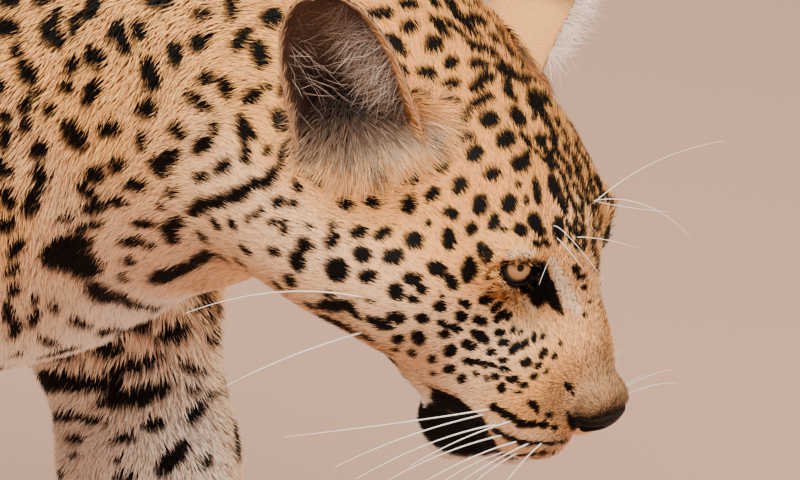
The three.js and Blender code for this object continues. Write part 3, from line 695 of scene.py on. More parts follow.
CHEEK_MARKS = [
    (287, 228, 5, 4, 0), (311, 224, 6, 2, 10), (334, 224, 6, 4, -80), (307, 243, 9, 7, 20),
    (300, 258, 11, 8, 70), (334, 240, 9, 7, -70), (360, 231, 9, 7, -40), (383, 233, 10, 7, -35),
    (413, 241, 10, 9, 0), (448, 238, 11, 7, 88), (471, 228, 7, 6, 85), (428, 222, 4, 4, 0),
    (338, 268, 12, 10, 45), (363, 255, 10, 8, 30), (393, 258, 11, 8, 0), (369, 275, 10, 6, 5),
    (436, 268, 10, 7, 15), (451, 280, 9, 6, 60), (470, 268, 13, 9, -70), (413, 278, 10, 6, 8),
    (422, 288, 6, 5, 40), (397, 290, 9, 7, 30), (413, 297, 7, 4, 30), (293, 276, 8, 5, 50),
    (331, 291, 7, 3, 10), (337, 302, 19, 6, 5), (373, 298, 6, 2, 10), (338, 317, 19, 6, 27),
    (292, 307, 9, 8, 45), (303, 317, 10, 6, 35), (315, 322, 9, 5, 25), (328, 322, 8, 5, 10),
    (381, 319, 14, 5, 27), (397, 314, 10, 6, 15), (422, 316, 8, 5, 15), (439, 304, 7, 6, 10),
    (464, 301, 7, 4, 25), (460, 314, 7, 6, 30), (443, 322, 7, 4, 25), (454, 326, 8, 4, 22),
    (399, 335, 6, 5, 10), (418, 335, 8, 6, 45), (443, 332, 7, 4, 5), (346, 336, 13, 4, 32),
    (380, 348, 10, 4, 50), (396, 345, 4, 3, 0), (413, 349, 5, 4, 20), (450, 348, 7, 6, 0),
    (468, 343, 9, 5, 25), (478, 318, 7, 5, 25), (476, 332, 8, 4, 30), (433, 355, 5, 4, 30),
    (374, 362, 15, 5, 40), (471, 360, 8, 4, 10), (450, 366, 6, 5, 20), (441, 294, 3, 3, 0),
    (493, 224, 7, 6, 80), (504, 230, 4, 3, 0), (519, 230, 8, 6, 55), (535, 226, 12, 6, 55),
    (533, 243, 5, 4, 30), (543, 243, 5, 4, 30), (556, 229, 13, 6, 85), (486, 249, 8, 6, 40),
    (487, 269, 6, 4, 80), (491, 282, 5, 4, -60), (485, 297, 8, 6, -20), (495, 305, 8, 4, -45),
    (498, 315, 8, 4, -45), (506, 316, 5, 3, -60), (480, 319, 7, 5, 30), (480, 335, 9, 5, 35),
    (498, 332, 6, 4, 10), (511, 330, 5, 3, -55), (518, 333, 4, 2, -55), (502, 342, 6, 4, 0),
    (513, 348, 7, 5, -50), (523, 344, 6, 4, -50), (532, 338, 6, 3, 85), (541, 337, 4, 3, -50),
    (490, 351, 6, 4, 20), (486, 363, 10, 3, 14), (502, 359, 5, 3, 10), (525, 362, 6, 5, 0),
    (542, 353, 6, 4, -50), (553, 356, 4, 3, -40), (559, 343, 3, 2, 60), (504, 368, 6, 3, 15),
    (537, 365, 4, 3, -40), (450, 367, 5, 4, 30), (463, 376, 5, 5, 0), (476, 372, 4, 3, 20),
    (486, 377, 4, 2, 85), (495, 375, 5, 4, 10), (501, 387, 5, 5, 40), (512, 378, 7, 4, 10),
    (523, 384, 5, 3, -20), (533, 375, 5, 3, -25), (545, 370, 4, 2, -50), (575, 268, 5, 4, 60),
    (580, 275, 5, 3, -10), (595, 271, 4, 3, 70), (583, 286, 3, 3, 0), (588, 301, 3, 2, 0),
    (583, 314, 3, 2, 0), (601, 289, 3, 2, 80), (436, 370, 4, 3, 0), (517, 391, 4, 2, 0),
]
MUZZLE_MARKS = [
    (532, 403, 6, 4, 35), (535, 408, 4, 3, 50), (548, 413, 4, 3, 10), (568, 385, 6, 4, 30),
    (572, 391, 5, 2, 60), (495, 406, 6, 4, 30), (503, 411, 8, 4, 28), (512, 416, 8, 4, 30),
    (520, 422, 7, 4, 15), (530, 423, 6, 4, 5), (542, 424, 6, 4, 0), (552, 427, 4, 3, 30),
    (499, 429, 8, 3, 32), (510, 435, 8, 3, 28), (522, 440, 8, 3, 15), (535, 442, 7, 2, 3),
    (548, 443, 7, 2, 0), (562, 441, 5, 2, -20), (495, 444, 6, 2, 45), (507, 450, 7, 2, 20),
    (519, 452, 6, 2, 5), (530, 452, 5, 2, 0), (541, 451, 5, 2, 0), (551, 452, 5, 2, 0),
    (510, 458, 3, 2, 0), (527, 457, 3, 2, 0), (542, 456, 3, 2, 0),
]
# Fine dark streaks cover the forehead between two lines, running along them.
FOREHEAD_BACK = [(521, 138), (545, 165), (562, 205), (570, 250)]
FOREHEAD_FRONT = [(585, 150), (598, 180), (606, 215), (606, 262)]
FOREHEAD_ROWS = 6
FOREHEAD_STREAKS = 11
NECK_GROWTH = 1.14  # the neck's longer hair hides some of each spot's edge
LEG_GROWTH = 0.80  # while the leg's hair carries each spot's dark tips past its edge


class Marks:
    """Dark spots on the coat, each an ellipse laid on the skin."""

    def __init__(self):
        self.spots = []

    def add(self, centre, long_way, wide_way, strength=1.0):
        """long_way and wide_way reach from the centre to the spot's ends along the skin."""
        normal = np.cross(long_way, wide_way)
        size = max(np.linalg.norm(long_way), np.linalg.norm(wide_way))
        normal = unit(normal) * max(size, 0.006) * 1.6
        axes = np.array([long_way, wide_way, normal])
        if abs(np.linalg.det(axes)) > 1e-13:
            self.spots.append((centre, np.linalg.inv(axes), size * 1.5, strength))

    def darkness(self, p):
        """How dark each point is, from 0 to 1."""
        dark = np.zeros(len(p))
        order = np.argsort(p[:, 0])
        xs = p[order, 0]
        ragged = 0.10 * ripple(p, 0.0032)
        for centre, inverse, reach, strength in self.spots:
            first, last = np.searchsorted(xs, (centre[0] - reach, centre[0] + reach))
            ids = order[first:last]
            v = p[ids] - centre
            near = (np.abs(v[:, 1]) < reach) & (np.abs(v[:, 2]) < reach)
            ids, v = ids[near], v[near]
            u = v @ inverse
            away = np.hypot(u[:, 0], u[:, 1]) + ragged[ids]
            amount = strength * np.clip((1.22 - away) / 0.18, 0, 1) * (np.abs(u[:, 2]) < 1)
            dark[ids] = np.maximum(dark[ids], amount)
        return dark


RIPPLE_WAYS = unit(np.random.default_rng(7).normal(size=(7, 3)))
RIPPLE_PHASES = np.arange(7) * 1.7


def ripple(p, size):
    """Smooth unevenness between about -1 and 1, with waves of about the size given."""
    return np.sin(p @ RIPPLE_WAYS.T * (2 * math.pi / size) + RIPPLE_PHASES).sum(axis=1) / 2.6


CAST_STEPS = 110


def cast_marks(marks, listed, growth=1.0):
    """Casts marks given in the photo's pixels onto the skin."""
    rows = np.array(listed, float)
    angle = np.radians(rows[:, 4])
    long_step = np.stack([np.cos(angle), np.sin(angle)], axis=1) * rows[:, 2:3]
    wide_step = np.stack([-np.sin(angle), np.cos(angle)], axis=1) * rows[:, 3:4]
    middle = rows[:, :2]
    steps = [middle * 0, long_step / 2, -long_step / 2, wide_step / 2, -wide_step / 2]
    cast = on_skin(np.concatenate([middle + step for step in steps]), steps=CAST_STEPS).reshape(5, -1, 3)
    hit = np.abs(plain_skin(cast[0])) < 0.002
    growth = mix(growth, LEG_GROWTH, legness(cast[0]))[:, None]
    long_way = (cast[1] - cast[2]) * growth
    wide_way = (cast[3] - cast[4]) * growth
    for c, a, b, row in zip(cast[0][hit], long_way[hit], wide_way[hit], rows[hit]):
        marks.add(c, shortened(a, row[2] * PIXEL), shortened(b, row[3] * PIXEL))


def shortened(v, flat):
    """Keeps a length on the skin to at most twice what the photo shows of it."""
    length = np.linalg.norm(v)
    return v * min(1, 2.0 * flat / max(length, 1e-9))


def along_line(line, t):
    line = np.array(line, float)
    where = np.clip(t, 0, 1) * (len(line) - 1)
    return np.stack([np.interp(where, range(len(line)), line[:, i]) for i in range(line.shape[1])], axis=-1)


def forehead_marks():
    out = []
    for row in range(FOREHEAD_ROWS):
        for streak in range(FOREHEAD_STREAKS):
            t = (streak + 0.5 * (row % 2) + chance.uniform(-0.15, 0.15)) / FOREHEAD_STREAKS
            across = (row + chance.uniform(-0.2, 0.2)) / (FOREHEAD_ROWS - 1)
            here = mix(along_line(FOREHEAD_BACK, t), along_line(FOREHEAD_FRONT, t), across)
            ahead = mix(along_line(FOREHEAD_BACK, t + 0.05), along_line(FOREHEAD_FRONT, t + 0.05), across)
            tilt = math.degrees(math.atan2(*(ahead - here)[::-1])) + chance.uniform(-18, 18)
            out.append((*here, chance.uniform(5, 8), chance.uniform(2.0, 3.2), tilt))
    return out


# Ears: thin cups, given in their own frame by height u from 0 to 1 and place round the cup v from -1 to 1
EAR_ROOT = np.array([-0.169, 0.074, 0.069])
EAR_UPS = {
    -1: np.array([-0.577, 0.26, 0.776]),
    1: np.array([-0.35, 0.60, 0.776]),  # the left ear is turned out
}
EAR_OPEN = np.array([0.42, 0.87, 0.12])
EAR_HEIGHT = 0.111
EAR_SUNK = 0.16
EAR_HALF_WIDTH = 0.034
EAR_TAPER = 0.14
EAR_ROUNDNESS = 4.4
EAR_DEPTH = 0.027
EAR_SWING = 1.42
EAR_WALL = 0.0055
EAR_BEND = 0.010
EAR_COAT_SHARE = 0.22  # of the wall, on each face
EAR_ROWS = 40
EAR_COLUMNS = 36
BODY, EAR_BACK, EAR_CUP = 0, 1, 2


def ear_frame(side):
    """Across, out of the opening and up the ear, as rows, in the head's frame."""
    mirror = np.array([1, side, 1])
    up_ear = unit(EAR_UPS[side] * mirror)
    out = EAR_OPEN * mirror
    out = unit(out - up_ear * (out @ up_ear))
    return np.array([np.cross(out, up_ear), out, up_ear])


def ear_points(side, u, v, inward):
    """Points of the ear; inward runs from 0 on its back to 1 inside the cup."""
    wide = EAR_HALF_WIDTH * (1 - EAR_TAPER * u) * np.sqrt(1 - u**EAR_ROUNDNESS)
    swing = v * EAR_SWING
    deep = EAR_DEPTH * (wide / EAR_HALF_WIDTH) * (1 - 0.35 * u)
    rim = np.sqrt(np.maximum(0, 1 - v * v))
    wall = inward * EAR_WALL * (0.35 + 0.65 * rim) * (1 - 0.45 * u)
    x = (wide - wall * 0.8) * np.sin(swing)
    y = -(deep - wall) * np.cos(swing) + EAR_BEND * u * u
    z = EAR_HEIGHT * (u - EAR_SUNK) - wall * 0.5 * u
    local = np.stack([x, y, z], axis=-1)
    return from_head(EAR_ROOT * (1, side, 1) + local @ ear_frame(side))


def make_ear(side):
    t = np.linspace(0, 1, EAR_ROWS + 1)
    u, v = np.meshgrid(0.998 * (1 - (1 - t) ** 1.6), np.linspace(-1, 1, EAR_COLUMNS + 1), indexing="ij")
    u, v = u.ravel(), v.ravel()
    points = [ear_points(side, u, v, share) for share in (EAR_COAT_SHARE, 1 - EAR_COAT_SHARE)]
    row = EAR_COLUMNS + 1
    corners = [(r * row + c, r * row + c + 1) for r in range(EAR_ROWS) for c in range(EAR_COLUMNS)]
    faces = [[a, b, b + row, a + row] for a, b in corners]
    faces += [[len(u) + i for i in face[::-1]] for face in faces]
    around = [*range(EAR_COLUMNS), *(r * row + EAR_COLUMNS for r in range(EAR_ROWS))]
    last = EAR_ROWS * row
    around += [*range(last + EAR_COLUMNS, last, -1), *range(last, 0, -row)]
    faces += [[b, a, a + len(u), b + len(u)] for a, b in zip(around, [*around[1:], around[0]])]
    if side > 0:
        faces = [face[::-1] for face in faces]
    parts = np.repeat([EAR_BACK, EAR_CUP], len(u))
    return np.concatenate(points), faces, parts, np.tile(np.stack([u, v], axis=1), (2, 1))


# The whole skin: the body's, with both ears set in it
skin_part = np.zeros(len(skin_points), int)
skin_ear = np.zeros((len(skin_points), 3))  # side, u and v on an ear
for ear_side in (-1, 1):
    new_points, new_faces, new_parts, new_uv = make_ear(ear_side)
    skin_faces += [[len(skin_points) + i for i in face] for face in new_faces]
    skin_points = np.concatenate([skin_points, new_points])
    skin_part = np.concatenate([skin_part, new_parts])
    new_uv = np.column_stack([np.full(len(new_uv), ear_side), new_uv])
    skin_ear = np.concatenate([skin_ear, new_uv])
skin = mesh_object("skin", skin_points, skin_faces)
skin_normals = np.empty(len(skin_points) * 3, np.float32)
skin.data.vertex_normals.foreach_get("vector", skin_normals)
skin_normals = skin_normals.reshape(-1, 3).astype(float)

nearest = kdtree.KDTree(len(skin_points))
for index in np.flatnonzero(skin_part == BODY):
    nearest.insert(skin_points[index], int(index))
nearest.balance()


# Markings
MIRROR_JITTER = 0.0016
ROSETTE_SPACING = 0.047
ROSETTE_RADIUS = 0.0165
NECK_SPACING = 0.021
HEAD_SPACING = 0.0135
FILL_SPACING = 0.0205  # of the single spots between the rosettes
BELLY_SPACING = 0.042
TAIL_SPACING = 0.027
LEG_SPACINGS = (0.030, 0.0135)  # at the top of a leg and at the paw
LEG_SPOTS = (0.0100, 0.0040)
TAIL_RINGS = 0.58  # share of the tail's length where spots become rings
TAIL_WAVES = 9  # rings there would be on the whole tail
TAIL_STARTS_X = -0.475
TAIL_ROOT = 0.06  # share of the tail's length that the rump's coat covers
CROWN_SPOT_LIE = np.array([-0.8, 0, 0.4])
NECK_SPOT_LIE = np.array([-0.6, 0, -0.7])
TRUNK_SPOT_LIE = np.array([-1.0, 0, -0.2])
LEG_SPOT_LIE = np.array([0.5, 0, -0.5])
BELLY_SPOT_LIE = np.array([0.3, 1.0, 0])


def mirror_marks(marks):
    """The other side carries like spots, each a little shifted and turned."""
    centres = np.array([spot[0] for spot in marks.spots])
    ways = [np.linalg.inv(spot[1]) for spot in marks.spots]
    for centre, axes, strength in zip(centres, ways, [spot[3] for spot in marks.spots]):
        if centre[1] > -0.004:
            continue
        other = centre * (1, -1, 1) + chance.normal(0, MIRROR_JITTER, 3)
        if np.linalg.norm(centres - other, axis=1).min() < 0.006:
            continue
        place, index, away = nearest.find(other)
        if away > 0.03:
            continue
        a, b = axes[0] * (1, -1, 1), axes[1] * (1, -1, 1)
        turn = chance.normal(0, 0.2)
        size = chance.uniform(0.9, 1.12)
        a, b = (a + b * turn) * size, (b - a * turn) * size
        marks.add(np.array(place), flat_on(index, a), flat_on(index, b), strength)


def flat_on(index, way):
    n = skin_normals[index]
    return way - n * (way @ n)


def scatter(centres, where, spacing):
    """Skin points at least a spacing apart, clear of the centres already there."""
    ids = np.flatnonzero(where)
    chance.shuffle(ids)
    p = skin_points[ids]
    room = spacing[ids] if isinstance(spacing, np.ndarray) else np.full(len(ids), spacing)
    free = np.ones(len(ids), bool)
    for centre in centres:
        near = np.abs(p[:, 0] - centre[0]) < room
        free[near] &= np.linalg.norm(p[near] - centre, axis=1) > room[near] * 0.85
    out = []
    for i in range(len(ids)):
        if free[i]:
            out.append(ids[i])
            free &= np.linalg.norm(p - p[i], axis=1) > room[i]
    return out


def tangents(index, lie):
    n = skin_normals[index]
    along = unit(lie - n * (lie @ n))
    return along, np.cross(n, along)


def blob(marks, index, lie, length, width, turn=0.35, strength=1.0):
    along, across = tangents(index, lie)
    angle = chance.normal(0, turn)
    a = along * math.cos(angle) + across * math.sin(angle)
    b = across * math.cos(angle) - along * math.sin(angle)
    marks.add(skin_points[index], a * length, b * width, strength)


def blobs(marks, found, lie, lengths, widths):
    """A blob at each skin point found, its half length and half width between the limits given."""
    for index in found:
        length = chance.uniform(*lengths)
        width = chance.uniform(*widths)
        blob(marks, index, lie, length, width)


def rosette(marks, inner_marks, index):
    """A broken ring of blobs round a darker middle."""
    along, across = tangents(index, TRUNK_SPOT_LIE)
    centre = skin_points[index]
    radius = ROSETTE_RADIUS * chance.uniform(0.85, 1.12)
    stretch = chance.uniform(1.0, 1.25)
    pieces = int(chance.integers(4, 7))
    start = chance.uniform(0, 2 * math.pi)
    inner_marks.add(centre, along * radius * stretch, across * radius, 1.0)
    for i in range(pieces):
        angle = start + 2 * math.pi * (i + chance.uniform(-0.12, 0.12)) / pieces
        out = along * math.cos(angle) * stretch + across * math.sin(angle)
        round_way = unit(across * math.cos(angle) - along * math.sin(angle) * stretch)
        place, found, _ = nearest.find(centre + out * radius)
        half = radius * math.pi / pieces * chance.uniform(0.62, 0.88)
        a = flat_on(found, round_way * half)
        b = flat_on(found, unit(out) * radius * chance.uniform(0.24, 0.36))
        marks.add(np.array(place), a, b)


def tail_place(p):
    """How far along the tail each point is, from 0 to 1, and the tail's direction there."""
    line = np.array(TAIL)[:, :3]
    lengths = np.linalg.norm(np.diff(line, axis=0), axis=1)
    starts = np.concatenate([[0], np.cumsum(lengths)])
    best = np.full(len(p), 9.0)
    share = np.zeros(len(p))
    way = np.tile([-1.0, 0, 0], (len(p), 1))
    for a, b, start, length in zip(line, line[1:], starts, lengths):
        t = np.clip((p - a) @ (b - a) / length**2, 0, 1)
        away = np.linalg.norm(p - a - t[:, None] * (b - a), axis=1)
        closer = away < best
        best[closer] = away[closer]
        share[closer] = ((start + t * length) / starts[-1])[closer]
        way[closer] = (b - a) / length
    return share, way


def all_marks():
    marks, inner_marks = Marks(), Marks()
    cast_marks(marks, NECK_MARKS, NECK_GROWTH)
    cast_marks(marks, [*CROWN_MARKS, *CHEEK_MARKS, *MUZZLE_MARKS, *forehead_marks()])
    mirror_marks(marks)
    centres = [spot[0] for spot in marks.spots]
    p, n = skin_points, skin_normals
    h = to_head(p)
    body = skin_part == BODY
    head = headness(h) > 0.5
    tail_share, tail_way = tail_place(p)
    on_tail = body & (p[:, 0] < TAIL_STARTS_X) & (tail_share > TAIL_ROOT)
    leg = body & (p[:, 2] < 0.40) & ~on_tail & ~head & (p[:, 0] < 0.47)
    belly = body & ~leg & ~head & ~on_tail & (n[:, 2] < -0.35)
    neck = body & ~leg & ~belly & ~head & ~on_tail & (p[:, 0] > 0.30)
    trunk = body & ~leg & ~belly & ~neck & ~head & ~on_tail
    crown = head & (h[:, 0] < -0.10) & (h[:, 2] > -0.05) & body
    for index in scatter(centres, crown, HEAD_SPACING):
        blob(marks, index, CROWN_SPOT_LIE, 0.0042, 0.0032)
    blobs(marks, scatter(centres, neck, NECK_SPACING), NECK_SPOT_LIE, (0.005, 0.0078), (0.0038, 0.005))
    for index in scatter(centres, trunk, ROSETTE_SPACING):
        rosette(marks, inner_marks, index)
    rings = [spot[0] for spot in marks.spots]
    blobs(marks, scatter(rings, trunk, FILL_SPACING), TRUNK_SPOT_LIE, (0.004, 0.0065), (0.003, 0.0045))
    down = ramp(p[:, 2], 0.36, 0.05)
    for index in scatter(centres, leg & (p[:, 2] > 0.006), mix(*LEG_SPACINGS, down)):
        size = mix(*LEG_SPOTS, down[index]) * chance.uniform(0.8, 1.15)
        blob(marks, index, LEG_SPOT_LIE, size * 1.2, size * 0.8, 0.6)
    blobs(marks, scatter(centres, belly, BELLY_SPACING), BELLY_SPOT_LIE, (0.013, 0.020), (0.007, 0.010))
    for index in scatter([], on_tail & (tail_share < TAIL_RINGS), TAIL_SPACING):
        blobs(marks, [index], tail_way[index], (0.009, 0.012), (0.006, 0.009))
    return marks, inner_marks


marks, inner_marks = all_marks()


def tail_rings(p):
    share, _ = tail_place(p)
    wave = np.cos((share - TAIL_RINGS) * 2 * math.pi * TAIL_WAVES) + 0.25 * ripple(p, 0.03)
    ring = ramp(wave, 0.10, 0.35) * ramp(share, TAIL_RINGS - 0.02, TAIL_RINGS + 0.02)
    under = ramp(p[:, 2] - tail_axis_height(p), -0.004, -0.014)
    return ring * (p[:, 0] < -0.6) * (1 - 0.85 * under * ramp(share, 1.0, 0.9))


def tail_axis_height(p):
    line = np.array(TAIL)[::-1]
    return np.interp(p[:, 0], line[:, 0], line[:, 2])


# Colours, given as on a screen
def tone(red, green, blue):
    c = np.array([red, green, blue]) / 255
    return np.where(c <= 0.04045, c / 12.92, ((c + 0.055) / 1.055) ** 2.4)


OCHRE = tone(226, 160, 90)
TAN = tone(244, 180, 110)
CREAM = tone(250, 210, 174)
WHITE = tone(248, 232, 220)
BRIDGE = tone(252, 190, 128)
NOSE_TOP = tone(180, 136, 96)
NOSE_DUSK = tone(70, 52, 42)
DARK = tone(8, 6, 5)
LIP_BLACK = tone(7, 6, 6)
INNER_TAN = tone(200, 130, 62)
PALE_LINE = tone(252, 220, 184)
EAR_BROWN = tone(92, 70, 60)
EAR_BACK_GREY = tone(66, 56, 50)
EAR_HOLLOW_SHADE = tone(26, 20, 18)
EAR_RIM = tone(214, 168, 128)

# Lines and patches of the face: pixels of the photo, each with the half width there in pixels
CANTHUS = [(541, 266, 5), (543, 276, 7), (547, 286, 9), (551, 295, 8), (556, 304, 6), (562, 313, 2.5)]
CANTHUS_INSIDE = [(538, 269, 4), (536, 276, 5), (533, 283, 5), (538, 288, 7), (541, 294, 7), (540, 301, 6)]
CANTHUS_BELOW = [(512, 287, 2), (522, 289, 4), (531, 292, 6), (535, 299, 6), (537, 306, 3)]
BELOW_EYE = [(496, 279, 1.6), (503, 291, 2), (513, 301, 2.2)]
UPPER_LID = [(501, 259, 2.5), (511, 258, 2), (522, 258, 1.5), (534, 260, 2.5), (541, 264, 4)]
PALE_LID = [(499, 267, 2), (501, 277, 2.6), (506, 286, 3), (513, 293, 3.6), (523, 300, 5), (533, 309, 5)]
PALE_BROW = [(508, 253, 3), (518, 251, 4), (530, 253, 4)]
PALE_BRIDGE = [(551, 260, 5), (556, 272, 7), (563, 285, 9), (569, 298, 9), (575, 309, 6)]
LIP_ABOVE = [(419, 389, 6), (440, 398, 10), (460, 407, 13), (476, 424, 14), (491, 445, 11)]
LIP_MIDDLE = [(423, 398, 9), (439, 414, 16), (457, 427, 18), (478, 441, 15)]
LIP_BELOW = [(425, 410, 11), (434, 428, 16), (452, 440, 18), (480, 449, 12)]
NOSTRIL_WING = [(568, 411, 3.5), (570, 418, 5), (575, 427, 5.5)]
UNDER_NOSE = [(577, 429, 4), (583, 433, 4.5), (590, 434, 4.5), (598, 431, 4)]
MOUTH_BLACK = 0.0030  # metres, half the width of the black line between the lips


def strokes_of(*lines):
    """Forms along the skin through lines of the photo, for both sides of the head."""
    forms = []
    for line in lines:
        line = np.array(line, float)
        points = folded(to_head(on_skin(line[:, :2], skin_field)))
        forms += chain([(*p, w * PIXEL) for p, w in zip(points, line[:, 2])], 0.001)
    return forms


BLACK_STROKES = strokes_of(
    CANTHUS,
    CANTHUS_INSIDE,
    CANTHUS_BELOW,
    UPPER_LID,
    LIP_ABOVE,
    LIP_MIDDLE,
    LIP_BELOW,
    NOSTRIL_WING,
    UNDER_NOSE,
)
BLACK_STROKES += chain([(*point[:3], MOUTH_BLACK) for point in mouth_line()], 0.001)
BROWN_STROKES = strokes_of(BELOW_EYE)
PALE_STROKES = strokes_of(PALE_LID, PALE_BRIDGE, PALE_BROW)


def inside(strokes, h, soft=0.0010):
    return ramp(measure(strokes, folded(h)), soft * 0.5, -soft)


def layered(colour, new, amount):
    return mix(colour, new, np.asarray(amount)[:, None])


def flood(colour, like):
    """The same colour for every point."""
    return np.tile(colour, (len(like), 1))


def ground_colour(p, n):
    """The coat's colour between the spots."""
    h = to_head(p)
    f = folded(h)
    x, y, z = f.T
    out = flood(TAN, p)
    out = layered(out, OCHRE, ramp(n[:, 2], 0.2, 0.9) * ramp(p[:, 2], 0.48, 0.58))
    out = layered(out, CREAM, ramp(p[:, 2] + 0.04 * n[:, 2], 0.50, 0.42))
    out = layered(out, WHITE, ramp(n[:, 2], -0.25, -0.75) * ramp(p[:, 2], 0.20, 0.30))
    inner_leg = ramp(n[:, 1] * np.sign(p[:, 1]), 0.5, -0.3) * ramp(p[:, 2], 0.42, 0.38) * (p[:, 0] > -0.5)
    out = layered(out, WHITE, inner_leg * 0.8)
    out = layered(out, TAN, ramp(p[:, 2], 0.30, 0.12) * (1 - inner_leg) * 0.6)
    neck = ramp(p[:, 0], 0.24, 0.36) * (1 - headness(h)) * ramp(p[:, 2], 0.30, 0.38)
    warm = ramp(n[:, 2] + 0.25 * ripple(p, 0.11), -0.30, 0.50)
    neck_colour = layered(flood(CREAM, p), TAN, warm)
    neck_colour = layered(neck_colour, WHITE, ramp(n[:, 2], -0.35, -0.80))
    out = layered(out, neck_colour, neck)
    head = flood(TAN, p)
    head = layered(head, OCHRE, ramp(z, 0.045, 0.085) * ramp(x, -0.06, -0.11))
    head = layered(head, CREAM, ramp(z, 0.042, 0.012) * ramp(x, -0.035, -0.060) * 0.70)
    head = layered(head, BRIDGE, ramp(y, 0.024, 0.010) * ramp(x, -0.100, -0.070))
    head = layered(head, CREAM, ramp(z, -0.010, -0.022) * ramp(x, -0.090, -0.060) * 0.7)
    head = layered(head, NOSE_TOP, ramp(x, -0.040, -0.016) * ramp(z, -0.014, -0.006))
    head = layered(head, NOSE_DUSK, ramp(nose_pad(f), 0.0070, 0.0010) * ramp(z, -0.016, -0.008))
    head = layered(head, WHITE, ramp(z, -0.034, -0.050) * ramp(x, -0.20, -0.14))
    out = layered(out, head, headness(h))
    share, _ = tail_place(p)
    under_tail = ramp(p[:, 2] - tail_axis_height(p), 0.0, -0.014) * (p[:, 0] < -0.55)
    return layered(out, WHITE, under_tail * ramp(share, 0.35, 0.7))


def coat_colour(p, n, part, ear):
    """The coat's colour with its markings and the painted shade in the ears' mouths and cups, the same for
    the skin and for the tufts rooted in it.
    """
    out = ground_colour(p, n)
    h = to_head(p)
    out = layered(out, INNER_TAN, inner_marks.darkness(p) * 0.55)
    by_eye = np.linalg.norm(folded(h) - EYE, axis=1) < 0.050
    out = layered(out, PALE_LINE, inside(PALE_STROKES, h, 0.003) * by_eye)
    dark = np.maximum(marks.darkness(p), tail_rings(p))
    dark = np.maximum(dark, 0.75 * inside(BROWN_STROKES, h))
    out = layered(out, DARK, dark * (part == BODY))
    out = layered(out, LIP_BLACK, inside(BLACK_STROKES, h) * (part == BODY))
    out = layered(out, LIP_BLACK, lid_black(h))
    out = layered(out, LIP_BLACK, ramp(nose_pad(h), 0.0030, 0.0010))
    out = mouth_of_ear_colour(out, p, part)
    return np.where((part == BODY)[:, None], out, ear_colour(part, ear))


def ear_colour(part, ear):
    u, v = ear[:, 1], ear[:, 2]
    front = v * ear[:, 0]  # 1 on the front edge, -1 on the rear one
    back_colour = layered(flood(EAR_BACK_GREY, u), WHITE, ramp(np.abs(u - 0.66), 0.13, 0.05) * 0.45)
    back_colour = layered(back_colour, TAN, ramp(u, 0.52, 0.36))
    # Painted shade: the cup turns near black deep in its hollow, low in the middle, and along its lower rear
    # side.
    cup = layered(flood(EAR_BROWN, u), EAR_HOLLOW_SHADE, ramp(u, 0.66, 0.34) * ramp(np.abs(v), 0.9, 0.5))
    rear = ramp(front, -0.05, -0.35) * ramp(front, -0.95, -0.60)
    cup = layered(cup, EAR_HOLLOW_SHADE, rear * ramp(u, 0.8, 0.4) * 0.6)
    cup = layered(cup, TAN, ramp(front, 0.60, 0.92) * ramp(u, 0.92, 0.6))
    cup = layered(cup, INNER_TAN, ramp(front, 0.55, 0.85) * ramp(u, 0.42, 0.25))
    out = np.where((part == EAR_BACK)[:, None], back_colour, cup)
    return layered(out, EAR_RIM, np.maximum(ramp(np.abs(v), 0.92, 0.985), ramp(u, 0.955, 0.985)) * 0.8)


# The head's fur inside the mouth of each ear: dark at the top with painted shade of the ear's hollow, with a
# fringe that fans out below it
FRINGE_CENTRE = np.array([0.004, -0.018, 0.026])


def by_ear(p, part):
    """For the skin by each ear: how much it lies in the ear's mouth, its place and the fringe's direction."""
    share = np.zeros(len(p))
    place = np.zeros((len(p), 3))
    way = np.zeros((len(p), 3))
    h = to_head(p)
    for side in (-1, 1):
        turn = ear_frame(side)
        mirror = np.array([-side, 1, 1])
        local = ((h - EAR_ROOT * (1, side, 1)) @ turn.T) * mirror
        a, b, c = local.T
        held = ramp(np.abs(a + 0.002), 0.038, 0.031) * ramp(b, -0.028, -0.020) * ramp(b, 0.016, 0.008)
        held = held * ramp(c, -0.014, -0.006) * ramp(c, 0.060, 0.045) * (part == BODY)
        nearer = held > share
        share[nearer] = held[nearer]
        place[nearer] = local[nearer]
        fan = (local - FRINGE_CENTRE) * (1.0, 0.6, 1.0) * mirror
        way[nearer] = (unit(fan) @ turn @ HEAD_TURN.T)[nearer]
    return share, place, way


def mouth_of_ear_colour(colour, p, part):
    share, place, _ = by_ear(p, part)
    a, c = place[:, 0], place[:, 2]
    # painted shade: the fur darker towards the top of the ear's mouth, where it runs into the hollow
    dark = layered(flood(EAR_BROWN, p), EAR_HOLLOW_SHADE, ramp(c, -0.004, 0.010) * ramp(a, -0.026, -0.010))
    inside_colour = layered(dark, PALE_LINE, ramp(c + 0.10 * a, -0.004, -0.016) * 0.8)
    inside_colour = layered(inside_colour, INNER_TAN, ramp(a, -0.020, -0.032) * ramp(c, -0.008, 0.0))
    return layered(colour, inside_colour, share)


# The lie of the coat
HAIR_START = np.array([0.030, 0, -0.004])  # the head's hair flows away from a point before the nose
NECK_LIE = np.array([-0.26, 0, -0.92])
TRUNK_LIE = np.array([-1.0, 0, -0.25])
LEG_LIE = np.array([-0.12, 0, -1.0])


